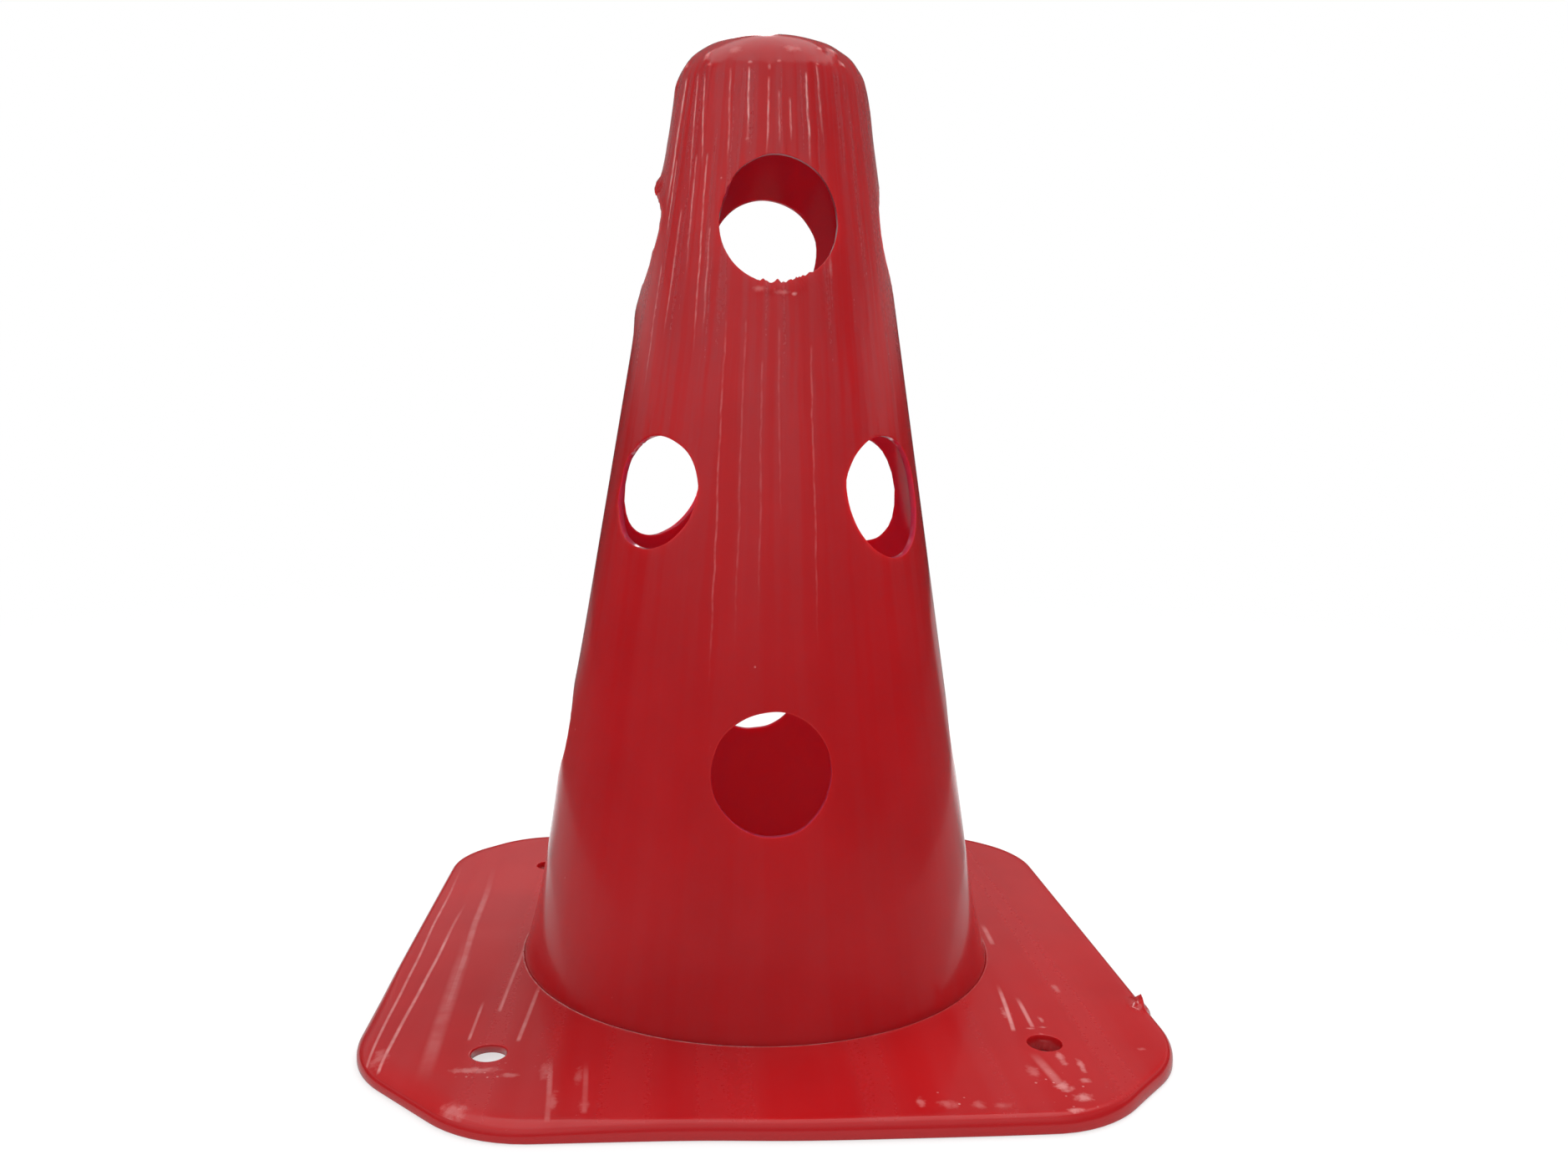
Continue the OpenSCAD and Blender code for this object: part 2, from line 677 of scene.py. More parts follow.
    def weave(self) -> ShellMesh:
        """Weaves both sides of the wall and joins them at every edge.

        Returns:
            The whole closed shell.
        """
        shell = ShellMesh()
        outer = ConeSkin(shell, self, True, Tile(0, 0, 1, 0.58))
        inner = ConeSkin(shell, self, False, Tile(0, 0.60, 1, 0.90))
        openings = self.openings()
        outer_grid, outer_rims = outer.weave(openings)
        halved = [self._inner_opening(o, outer, inner) for o in openings]
        inner_grid, inner_rims = inner.weave(halved)
        for k, opening in enumerate(openings):
            column, low = k % 6, 0.91 + 0.03 * (k // 6)
            tile = Tile(column / 6 + 0.004, low, (column + 1) / 6 - 0.004, low + 0.025)
            self._bore(shell, opening, outer_rims[k], inner_rims[k], tile)
        self._crown(shell, outer_grid[-1], inner_grid[-1])
        self._flange(shell, outer_grid[0], inner_grid[0])
        return shell

    def _inner_opening(self, opening: Opening, outer: ConeSkin, inner: ConeSkin) -> Opening:
        """Finds a hole's block in the inner skin, which has every second row of the outer.

        Args:
            opening: The hole in the outer skin.
            outer: The outer skin.
            inner: The inner skin.

        Returns:
            The hole in the inner skin.
        """
        z = outer.outline[opening.row, 1]
        row = int(np.argmin(np.abs(inner.outline[:, 1] - z)))
        return replace(opening.halved(), row=row)

    def _bore(
        self,
        shell: ShellMesh,
        opening: Opening,
        outer: Array,
        inner: Array,
        tile: Tile,
    ) -> None:
        """Joins the two rims of a pole hole by its rounded edge and wall.

        Args:
            shell: The mesh being woven.
            opening: The hole.
            outer: Point numbers of the outer skin's rim.
            inner: Point numbers of the inner skin's rim, half as many.
            tile: The part of the map that the wall fills.
        """
        outside, inside = shell.point(outer), shell.point(inner)
        axis = np.array([math.sin(opening.azimuth), -math.cos(opening.azimuth), 0.0])
        middle = np.array([0.0, 0.0, opening.level])
        away = outside - middle
        away -= (away @ axis)[:, None] * axis
        away /= np.linalg.norm(away, axis=1, keepdims=True)
        rounding = self.hole_rounding
        fine = np.repeat(inside, 2, axis=0)
        fine[1::2] = (inside + np.roll(inside, -1, axis=0)) / 2
        loops = [outer]
        for turn in (30, 60, 90):
            drawn = rounding * math.sin(math.radians(turn))
            sunk = rounding * (1 - math.cos(math.radians(turn)))
            loops.append(shell.add_points(outside - away * drawn - axis * sunk))
        edge = outside - away * rounding - axis * rounding
        for share in (0.5, 0.88):
            loops.append(shell.add_points(edge + share * (fine - edge)))
        shell.add_band([*loops, inner], tile)

    def _crown(self, shell: ShellMesh, outer: Array, inner: Array) -> None:
        """Closes the wall over the flat top and down the crown hole.

        Args:
            shell: The mesh being woven.
            outer: Point numbers of the outer skin's last row.
            inner: Point numbers of the inner skin's last row, half as many.
        """
        soft = self.edge_rounding
        start = self.shoulder_x
        path = [
            (start + (self.crown_hole + soft - start) * share, self.height)
            for share in (0.4, 0.75, 1)
        ]
        for turn in (30, 60, 90):
            angle = math.radians(turn)
            path.append(
                (
                    self.crown_hole + soft * (1 - math.sin(angle)),
                    self.height - soft * (1 - math.cos(angle)),
                )
            )
        path.append((self.crown_hole, self.height - self.wall + soft))
        path.append((self.crown_hole + soft, self.height - self.wall))
        self._turned_band(shell, outer, path, inner, Tile(0, 0.97, 1, 0.982), up=True)

    def _flange(self, shell: ShellMesh, outer: Array, inner: Array) -> None:
        """Closes the wall round the collar and the flange below the plate.

        Args:
            shell: The mesh being woven.
            outer: Point numbers of the outer skin's first row.
            inner: Point numbers of the inner skin's first row, half as many.
        """
        soft = self.edge_rounding
        rim = self.foot_outer + self.flange_width
        collar = float(self.flare(np.array(self.collar_height), self.wall))
        path = [
            (self.foot_outer, self.flange_height + soft),
            (self.foot_outer + soft, self.flange_height),
            (rim - soft, self.flange_height),
            (rim, self.flange_height - soft),
            (rim, soft),
            (rim - soft, 0.0),
            (collar + soft, 0.0),
            (collar, soft),
        ]
        self._turned_band(shell, outer, path, inner, Tile(0, 0.985, 1, 0.998), up=False)

    def _turned_band(
        self,
        shell: ShellMesh,
        outer: Array,
        path: Sequence[tuple[float, float]],
        inner: Array,
        tile: Tile,
        up: bool,
    ) -> None:
        """Joins two loops by a band that follows radii and heights.

        Args:
            shell: The mesh being woven.
            outer: Point numbers of the first loop.
            path: Radius and height of each loop between.
            inner: Point numbers of the last loop, half as many.
            tile: The part of the map that the band fills.
            up: True where the band goes on upwards from the first loop.
        """
        azimuth = full_turn(len(outer))
        rings = [shell.add_points(around(azimuth, radius, z)) for radius, z in path]
        shell.add_band([outer, *rings, inner], tile, mirrored=not up)


class ConeSkin(Skin):
    """One side of the cone's wall. Its level is the length along the outline."""

    def __init__(self, shell: ShellMesh, body: ConeBody, outside: bool, tile: Tile) -> None:
        """Sets the skin.

        Args:
            shell: The mesh that it belongs to.
            body: The cone body's sizes.
            outside: True for the outer side.
            tile: The part of the map that it fills.
        """
        self.body = body
        self.edges = body.edges
        self.outside = outside
        step = 1 if outside else 2
        self.outline = body.outline(0 if outside else body.wall, step)
        run = np.hypot(*np.diff(self.outline[:, :2], axis=0).T)
        levels = np.concatenate([[0], np.cumsum(run)])
        super().__init__(shell, body.columns // step, levels, tile, not outside)

    def level_of(self, z: Array) -> Array:
        """Level of a height on the straight side."""
        return np.interp(z, self.outline[:, 1], self.levels)

    def points(self, azimuth: Array, level: Array) -> Array:
        """Places points of the skin, with the flow marks on its outer side.

        Args:
            azimuth: Azimuth of each point.
            level: Its length along the outline.

        Returns:
            The points in millimetres.
        """
        radius, z, out, up = (np.interp(level, self.levels, c) for c in self.outline.T)
        if self.outside:
            high = self.body.marks.height(azimuth, z, radius).reshape(radius.shape)
            high = high + self.edges.swelling(azimuth, z, radius)
            radius, z = radius + high * out, z + high * up
        return around(azimuth, radius, z)

    def rim(self, opening: Opening, azimuth: Array, level: Array) -> tuple[Array, Array]:
        """Finds a pole hole's rim.

        Args:
            opening: The hole.
            azimuth: Azimuths of points round it.
            level: Their levels.

        Returns:
            The azimuths and levels of the rim, facing each point.
        """
        _, z, *_ = (np.interp(level, self.levels, c) for c in self.outline.T)
        inset = 0 if self.outside else self.body.wall / math.cos(self.body.lean)
        across = (self.body.side(opening.level) - inset) * np.sin(azimuth - opening.azimuth)
        turn = np.arctan2(z - opening.level, across)
        reach = self.edges.reach(opening, turn)
        reach = reach + (self.body.hole_rounding if self.outside else 0.0)
        side, rise = reach * np.cos(turn), reach * np.sin(turn)
        radius = self.body.side(opening.level + rise) - inset
        return opening.azimuth + np.arcsin(side / radius), self.level_of(opening.level + rise)


@dataclass(frozen=True)
class Burr:
    """A ragged stretch of a pole hole's edge.

    The angle is measured round the hole, anticlockwise from its right side seen from outside.
    """

    hole: str
    angle: float
    span: float
    inward: float
    ragged: float = 0.0
    lip: float = 0.0
    lip_out: float = 1.4


@dataclass(frozen=True)
class Trim:
    """How far a pole hole was trimmed past its round on each side, seen from outside."""

    right: float = 0.0
    up: float = 0.0
    left: float = 0.0
    down: float = 0.0

    def at(self, turn: Array) -> Array:
        """Measures the trim.

        Args:
            turn: Angles round the hole.

        Returns:
            How far past the round it was cut at each, in millimetres.
        """
        side, rise = np.cos(turn), np.sin(turn)
        across = np.where(side > 0, self.right, self.left) * side**2
        return across + np.where(rise > 0, self.up, self.down) * rise**2


@dataclass
class Edges:
    """How the pole holes were trimmed: past their round, with a light wave, and burrs."""

    body: ConeBody
    burrs: tuple[Burr, ...]
    trims: dict[str, Trim] = field(default_factory=dict)
    wave: float = 0.10
    seed: int = 41

    def reach(self, opening: Opening, turn: Array) -> Array:
        """Distance of a hole's edge from its middle.

        Args:
            opening: The hole.
            turn: Angles round it.

        Returns:
            The distances in millimetres.
        """
        seed = self.seed + sum(map(ord, opening.name))
        reach = self.body.hole_radius + self.wave * Ripple(seed, 2, 14).at(turn)
        reach = reach + self.trims.get(opening.name, Trim()).at(turn)
        for burr in self.burrs:
            if burr.hole == opening.name:
                gap = wrapped(turn - math.radians(burr.angle)) / math.radians(burr.span)
                near = np.exp(-(gap**4))
                reach = reach - near * burr.inward
                reach = reach - near * burr.ragged * np.abs(Ripple(seed + 7, 12, 90).at(turn))
        return reach

    def swelling(self, azimuth: Array, z: Array, radius: Array) -> Array:
        """Measures the lips that the trimming pressed up beside the holes.

        Args:
            azimuth: Azimuth of each point.
            z: Its height above the floor.
            radius: The plain cone's radius there.

        Returns:
            The relief in millimetres.
        """
        high = np.zeros(np.broadcast(azimuth, z).shape)
        holes = {o.name: o for o in self.body.openings()}
        for burr in self.burrs:
            if not burr.lip:
                continue
            hole = holes[burr.hole]
            side = radius * np.sin(wrapped(azimuth - hole.azimuth))
            front = np.cos(wrapped(azimuth - hole.azimuth)) > 0
            rise = z - hole.level
            turn = np.arctan2(rise, side)
            gap = wrapped(turn - math.radians(burr.angle)) / math.radians(burr.span)
            out = np.hypot(side, rise) - self.reach(hole, turn) - burr.lip_out
            high += np.where(front, burr.lip * np.exp(-(gap**4) - (out / 0.8) ** 2), 0)
        return high


# ---- Base plate ----


@dataclass(frozen=True)
class Corner:
    """One corner of the plate: the length cut off both sides, and the radius at its ends."""

    cut: float
    radius: float


@dataclass
class BasePlate(SubAssembly):
    """The square plate with cut, rounded corners, an opening for the cone and peg holes."""

    finish: MouldedPlastic
    name: str = "plate_moulding"
    node: str = "base_plate"
    slot: str = "plate_plastic"
    half: float = 118.0
    thick: float = 5.0
    corners: tuple[Corner, ...] = (
        Corner(26.0, 42.0),
        Corner(25.0, 34.0),
        Corner(39.0, 39.0),
        Corner(32.5, 36.5),
    )
    edge_radius: float = 2.4
    edge_drop: float = 3.5
    foot_rounding: float = 0.3
    soft_roll: float = 4.0
    front_bow: float = 1.6
    flake_out: float = 1.2
    opening: float = 78.65
    rebate: float = 86.65
    rebate_height: float = 2.0
    peg_place: float = 79.0
    peg_radius: float = 5.0
    peg_rounding: float = 0.3
    relieved_peg: int = 3
    relief_radius: float = 11.5
    relief_height: float = 2.5
    relief_top: float = 4.2
    flake_y: float = -55.7
    flake_half: float = 3.4
    flake_height: float = 3.0
    bead_height: float = 0.10
    bead_width: float = 0.55
    columns: int = 480
    top_rows: int = 28
    seed: int = 23

    def outline(self, inset: float, azimuth: Array) -> Array:
        """Distance of the plate's outline from the axis.

        Args:
            inset: How far the outline is drawn in.
            azimuth: Azimuths to measure at.

        Returns:
            The distances in millimetres.
        """
        dense = []
        for quarter, corner in enumerate(self.corners):
            base = quarter * math.pi / 2
            radius = corner.radius
            flat_end = self.half - corner.cut - radius * math.tan(math.pi / 8)
            reach = self.half - radius
            for centre, start in (((reach, flat_end), 0.0), ((flat_end, reach), math.pi / 4)):
                angle = np.linspace(start, start + math.pi / 4, 40)
                x = centre[0] + (radius - inset) * np.cos(angle)
                y = centre[1] + (radius - inset) * np.sin(angle)
                turn = math.cos(base), math.sin(base)
                dense.append(np.stack([x * turn[0] - y * turn[1], x * turn[1] + y * turn[0]], 1))
        points = np.concatenate(dense)
        points = np.concatenate([points, points[:1]])
        share = np.linspace(0, 1, 300, endpoint=False)[None, :, None]
        points = (points[:-1, None] * (1 - share) + points[1:, None] * share).reshape(-1, 2)
        turned = np.arctan2(points[:, 0], -points[:, 1])
        order = np.argsort(turned)
        distance = np.hypot(*points[order].T)
        found = np.interp(wrapped(azimuth), turned[order], distance, period=2 * math.pi)
        turn = np.degrees(wrapped(azimuth))
        bow = self.front_bow * np.exp(-(((turn - 16) / 22) ** 4))
        return found + bow + self.flake_out * np.exp(-(((turn - 65.2) / 1.4) ** 4))

    def rolled(self, share: float, azimuth: Array) -> Array:
        """Distance of a line along the rolled edge, which is widest at the left front corner.

        Args:
            share: 0 at the plate's outline, 1 where the flat face starts.
            azimuth: Azimuths to measure at.

        Returns:
            The distances in millimetres.
        """
        far = self.outline(0, azimuth)
        near = self.outline(self.edge_radius, azimuth)
        corner = (np.degrees(wrapped(azimuth)) + 50) / 24
        wide = 1 + self.soft_roll / self.edge_radius * np.exp(-(corner**4))
        return far - share * wide * (far - near)

    def weave(self) -> ShellMesh:
        """Weaves both faces and joins them round the edge and every opening.

        Returns:
            The whole closed shell.
        """
        shell = ShellMesh()
        top = PlateSkin(shell, self, True, Tile(0, 0, 1, 0.5))
        under = PlateSkin(shell, self, False, Tile(0, 0.52, 1, 0.84))
        openings = self._peg_openings(top)
        top_grid, top_rims = top.weave(openings)
        under_grid, under_rims = under.weave([o.halved() for o in openings])
        for k in range(4):
            tile = Tile(k / 4 + 0.01, 0.86, (k + 1) / 4 - 0.01, 0.89)
            self._peg_wall(shell, openings[k], top_rims[k], under_rims[k], tile)
        self._edge(shell, top_grid[-1], under_grid[-1])
        self._seat(shell, top_grid[0], under_grid[0])
        return shell

    def _peg_openings(self, top: PlateSkin) -> list[Opening]:
        """Lays out the four peg holes in the upper face.

        Args:
            top: The upper face.

        Returns:
            The openings.
        """
        middle = self.peg_place * math.sqrt(2)
        made = []
        for quarter in range(4):
            azimuth = wrapped(np.array((quarter + 0.5) * math.pi / 2)).item()
            outline = top.outer(np.array([azimuth]))[0]
            row = 2 * round((middle - top.inner) / (outline - top.inner) * self.top_rows / 2)
            column = round((azimuth + math.pi) / (2 * math.pi) * self.columns)
            half_rows, half_columns = (8, 10) if quarter == self.relieved_peg else (4, 8)
            made.append(
                Opening(f"peg_{quarter}", azimuth, 0, row, column, half_rows, half_columns)
            )
        return made

    def _peg_wall(
        self,
        shell: ShellMesh,
        opening: Opening,
        upper: Array,
        under: Array,
        tile: Tile,
    ) -> None:
        """Joins the two rims of a peg hole by its rounded edge and wall.

        Args:
            shell: The mesh being woven.
            opening: The hole.
            upper: Point numbers of the upper rim.
            under: Point numbers of the lower rim, half as many.
            tile: The part of the map that the wall fills.
        """
        middle = self.peg_place * math.sqrt(2)
        azimuth = opening.azimuth
        centre = middle * np.array([math.sin(azimuth), -math.cos(azimuth)])
        top, low = shell.point(upper), shell.point(under)
        away = top[:, :2] - centre
        away /= np.linalg.norm(away, axis=1, keepdims=True)
        loops = [upper]
        soft = self.peg_rounding
        for turn in (45, 90):
            angle = math.radians(turn)
            ring = top.copy()
            ring[:, :2] -= away * soft * math.sin(angle)
            ring[:, 2] -= soft * (1 - math.cos(angle))
            loops.append(shell.add_points(ring))
        fine = np.repeat(low, 2, axis=0)
        fine[1::2] = (low + np.roll(low, -1, axis=0)) / 2
        wall = fine.copy()
        wall[:, :2] = top[:, :2] - away * soft
        relieved = opening.name == f"peg_{self.relieved_peg}"
        for z in (self.relief_top, self.relief_height) if relieved else (self.thick / 2, soft):
            ring = wall.copy()
            ring[:, 2] = z
            loops.append(shell.add_points(ring))
        shell.add_band([*loops, under], tile, mirrored=True)

    def _ring(self, shell: ShellMesh, radius: Array | float, z: float) -> Array:
        """Adds a loop of points round the axis and returns their numbers."""
        return shell.add_points(around(full_turn(self.columns), radius, z))

    def _edge(self, shell: ShellMesh, upper: Array, under: Array) -> None:
        """Rounds the plate's outer edge over and carries it down to the under face.

        Args:
            shell: The mesh being woven.
            upper: Point numbers of the upper face's last row.
            under: Point numbers of the under face's last row, half as many.
        """
        azimuth = full_turn(self.columns)
        loops = [upper]
        for turn in (15, 30, 45, 60, 75, 90):
            angle = math.radians(turn)
            z = self.thick - self.edge_drop * (1 - math.cos(angle))
            loops.append(self._ring(shell, self.rolled(1 - math.sin(angle), azimuth), z))
        for z in (0.8, self.foot_rounding):
            loops.append(self._ring(shell, self.outline(0, azimuth), z))
        shell.add_band([*loops, under], Tile(0, 0.90, 1, 0.93), mirrored=True)

    def _seat(self, shell: ShellMesh, upper: Array, under: Array) -> None:
        """Closes the plate round its opening, with the bead above and the rebate below.

        Args:
            shell: The mesh being woven.
            upper: Point numbers of the upper face's first row.
            under: Point numbers of the under face's first row, half as many.
        """
        bead = ((1.6, 0.3), (1.2, 0.85), (0.8, 1.0), (0.4, 0.8))
        path = [
            *(
                (self.opening + out * self.bead_width, self.thick + up * self.bead_height)
                for out, up in bead
            ),
            (self.opening - 0.16, self.thick + 0.2 * self.bead_height),
            (self.opening - 0.15, self.thick - 0.2),
            (self.opening, self.thick - 0.6),
            (self.opening, self.rebate_height + 0.2),
            (self.opening + 0.2, self.rebate_height),
            (self.rebate - 0.2, self.rebate_height),
            (self.rebate, self.rebate_height - 0.2),
            (self.rebate, self.foot_rounding),
        ]
        loops = [upper, *(self._ring(shell, radius, z) for radius, z in path), under]
        shell.add_band(loops, Tile(0, 0.94, 1, 0.99))


class PlateSkin(Skin):
    """The plate's upper or under face. Its level runs from 0 inside to 1 outside."""

    def __init__(self, shell: ShellMesh, plate: BasePlate, upper: bool, tile: Tile) -> None:
        """Sets the face.

        Args:
            shell: The mesh that it belongs to.
            plate: The plate's sizes.
            upper: True for the upper face.
            tile: The part of the map that it fills.
        """
        self.plate = plate
        self.upper = upper
        step = 1 if upper else 2
        levels = np.linspace(0, 1, plate.top_rows // step + 1)
        self.inner = plate.opening + 2 * plate.bead_width if upper else plate.rebate
        super().__init__(shell, plate.columns // step, levels, tile, upper)

    def radius(self, azimuth: Array, level: Array) -> Array:
        """Distance from the axis at these coordinates."""
        return self.inner + level * (self.outer(azimuth) - self.inner)

    def outer(self, azimuth: Array) -> Array:
        """Distance of the face's outer edge from the axis."""
        if self.upper:
            return self.plate.rolled(1.0, azimuth)
        return self.plate.outline(self.plate.foot_rounding, azimuth)

    def points(self, azimuth: Array, level: Array) -> Array:
        """Places points of the face.

        Args:
            azimuth: Azimuth of each point.
            level: Its level, 0 inside to 1 outside.

        Returns:
            The points in millimetres.
        """
        radius = self.radius(azimuth, level)
        x, y = radius * np.sin(azimuth), -radius * np.cos(azimuth)
        if not self.upper:
            return np.stack([x, y, np.zeros(x.shape)], -1)
        return np.stack([x, y, self.plate.thick - self._relief(x, y, level)], -1)

    def _relief(self, x: Array, y: Array, level: Array) -> Array:
        """Measures how far the moulded face dips below flat.

        Args:
            x: X of each point.
            y: Its Y.
            level: Its level, 0 inside to 1 outside.

        Returns:
            The dip in millimetres.
        """
        seed = self.plate.seed
        dip = 0.05 * (1 + Wander(seed, 90, 16).at(x + 0.02 * y) / 2)
        dip += 0.02 * (1 + Wander(seed + 1, 60, 14).at(y) / 2)
        edge = smooth_step(0, 0.12, level) * (1 - smooth_step(0.9, 1.0, level))
        gap = (y - self.plate.flake_y) / self.plate.flake_half
        flake = smooth_step(0.93, 1.0, level) * np.exp(-(gap**4)) * (x > 0)
        flake = flake * self.plate.flake_height * (0.75 + 0.25 * np.sin(2.2 * y))
        return dip * edge - flake

    def rim(self, opening: Opening, azimuth: Array, level: Array) -> tuple[Array, Array]:
        """Finds a peg hole's rim.

        Args:
            opening: The hole.
            azimuth: Azimuths of points round it.
            level: Their levels.

        Returns:
            The azimuths and levels of the rim, facing each point.
        """
        plate = self.plate
        middle = plate.peg_place * math.sqrt(2)
        radius = self.radius(azimuth, level)
        out = radius * np.cos(azimuth - opening.azimuth) - middle
        side = radius * np.sin(azimuth - opening.azimuth)
        turn = np.arctan2(side, out)
        relieved = not self.upper and opening.name == f"peg_{plate.relieved_peg}"
        reach = plate.relief_radius if relieved else plate.peg_radius + plate.peg_rounding
        out, side = middle + reach * np.cos(turn), reach * np.sin(turn)
        rim_azimuth = opening.azimuth + np.arctan2(side, out)
        outline = self.outer(rim_azimuth)
        return rim_azimuth, (np.hypot(out, side) - self.inner) / (outline - self.inner)


# ---- Finishes ----


class Flow(Enum):
    """Which way the plastic ran in the mould, which its pale streaks follow: whitened drag marks
    carrying painted glints.
    """

    DOWN_THE_CONE = "down the cone"
    ALONG_THE_PLATE = "along the plate"


class Graph:
    """Short calls for wiring a material's nodes."""

    def __init__(self, material: bpy.types.Material | bpy.types.World) -> None:
        """Clears the material's nodes and starts anew.

        Args:
            material: The material or the world.
        """
        material.use_nodes = True
        self.tree = material.node_tree
        self.tree.nodes.clear()

    def node(self, kind: str, **settings: object) -> bpy.types.Node:
        """Adds a node of a kind, with its settings.

        Args:
            kind: The node's type.
            settings: Its properties by name.

        Returns:
            The node.
        """
        made = self.tree.nodes.new(kind)
        for key, value in settings.items():
            setattr(made, key, value)
        return made

    def feed(self, target: Socket, value: object) -> None:
        """Wires a socket to another, or sets its value."""
        if isinstance(value, Socket):
            self.tree.links.new(value, target)
        else:
            target.default_value = value

    def math(self, operation: str, *values: object) -> Socket:
        """Adds a Math node.

        Args:
            operation: The node's operation.
            values: Its inputs.

        Returns:
            The result.
        """
        made = self.node("ShaderNodeMath", operation=operation)
        for socket, value in zip(made.inputs, values):
            self.feed(socket, value)
        return made.outputs[0]

    def vector(self, operation: str, one: object, two: object) -> Socket:
        """Adds a Vector Math node.

        Args:
            operation: The node's operation.
            one: Its first input.
            two: Its second input, or the scale.

        Returns:
            The result.
        """
        made = self.node("ShaderNodeVectorMath", operation=operation)
        self.feed(made.inputs[0], one)
        if operation == "SCALE":
            self.feed(made.inputs["Scale"], two)
        else:
            self.feed(made.inputs[1], two)
        return made.outputs[0]

    def measure(self, operation: str, *vectors: object) -> Socket:
        """Adds a Vector Math node that gives a number.

        Args:
            operation: The node's operation.
            vectors: Its inputs.

        Returns:
            The number.
        """
        made = self.node("ShaderNodeVectorMath", operation=operation)
        for target, vector in zip(made.inputs, vectors):
            self.feed(target, vector)
        return made.outputs["Value"]

    def parts(self, vector: Socket) -> Sequence[Socket]:
        """Takes a vector apart.

        Args:
            vector: The vector.

        Returns:
            Its x, y and z.
        """
        made = self.node("ShaderNodeSeparateXYZ")
        self.feed(made.inputs[0], vector)
        return made.outputs

    def join(self, x: Socket, y: Socket) -> Socket:
        """Puts a flat vector together.

        Args:
            x: Its x.
            y: Its y.

        Returns:
            The vector.
        """
        made = self.node("ShaderNodeCombineXYZ")
        self.feed(made.inputs[0], x)
        self.feed(made.inputs[1], y)
        return made.outputs[0]

    def noise(
        self, where: Socket, scale: float, detail: float = 2.0, rough: float = 0.5
    ) -> Socket:
        """Adds a Noise Texture.

        Args:
            where: Place that it is read at.
            scale: Waves to a unit of the place.
            detail: How many finer layers it has.
            rough: Strength of each finer layer.

        Returns:
            The value, about 0.2 to 0.8.
        """
        made = self.node("ShaderNodeTexNoise")
        self.feed(made.inputs["Vector"], where)
        made.inputs["Scale"].default_value = scale
        made.inputs["Detail"].default_value = detail
        made.inputs["Roughness"].default_value = rough
        return made.outputs["Fac"]

    def ramp(
        self, value: object, low: float, high: float, start: float = 0.0, end: float = 1.0
    ) -> Socket:
        """Carries a value smoothly from one range to another, held at its ends.

        Args:
            value: The value.
            low: Start of the first range.
            high: End of it.
            start: Result at the start.
            end: Result at the end.

        Returns:
            The carried value.
        """
        made = self.node("ShaderNodeMapRange", interpolation_type="SMOOTHSTEP")
        keys = ("Value", "From Min", "From Max", "To Min", "To Max")
        for key, number in zip(keys, (value, low, high, start, end)):
            self.feed(made.inputs[key], number)
        return made.outputs["Result"]

    def stops(self, value: Socket, points: Sequence[tuple[float, float]]) -> Socket:
        """Reads a number off a line through points.

        Args:
            value: Place along the line.
            points: Places and their numbers, each up to 4.

        Returns:
            The number there.
        """
        low, high = points[0][0], points[-1][0]
        share = self.node("ShaderNodeMapRange")
        for key, number in zip(("Value", "From Min", "From Max"), (value, low, high)):
            self.feed(share.inputs[key], number)
        curve = self.node("ShaderNodeValToRGB")
        self.feed(curve.inputs[0], share.outputs["Result"])
        marks = curve.color_ramp.elements
        while len(marks) < len(points):
            marks.new(0.5)
        for mark, (place, number) in zip(marks, points):
            mark.position = (place - low) / (high - low)
            mark.color = (number / 4, number / 4, number / 4, 1.0)
        split = self.node("ShaderNodeSeparateColor")
        self.feed(split.inputs[0], curve.outputs["Color"])
        return self.math("MULTIPLY", split.outputs[0], 4.0)

    def turned(self, place: Socket) -> Socket:
        """Works out a place's azimuth.

        Args:
            place: The surface's place in metres.

        Returns:
            Degrees from the front towards the right.
        """
        x, y, _ = self.parts(place)
        angle = self.math("ARCTAN2", x, self.math("MULTIPLY", y, -1.0))
        return self.math("MULTIPLY", angle, 180 / math.pi)

    def blend(self, share: object, one: object, two: object) -> Socket:
        """Mixes two colours.

        Args:
            share: Share of the second colour.
            one: The first colour.
            two: The second.

        Returns:
            The mix.
        """
        made = self.node("ShaderNodeMix", data_type="RGBA")
        self.feed(made.inputs["Factor"], share)
        for socket, value in ((made.inputs[6], one), (made.inputs[7], two)):
            self.feed(socket, (*value, 1.0) if isinstance(value, tuple) else value)
        return made.outputs[2]


@dataclass(frozen=True)
class FlowPlace:
    """A place by the flow: swaying across it, along it in metres, and metres to a unit across."""

    across: Socket
    along: Socket
    pitch: object


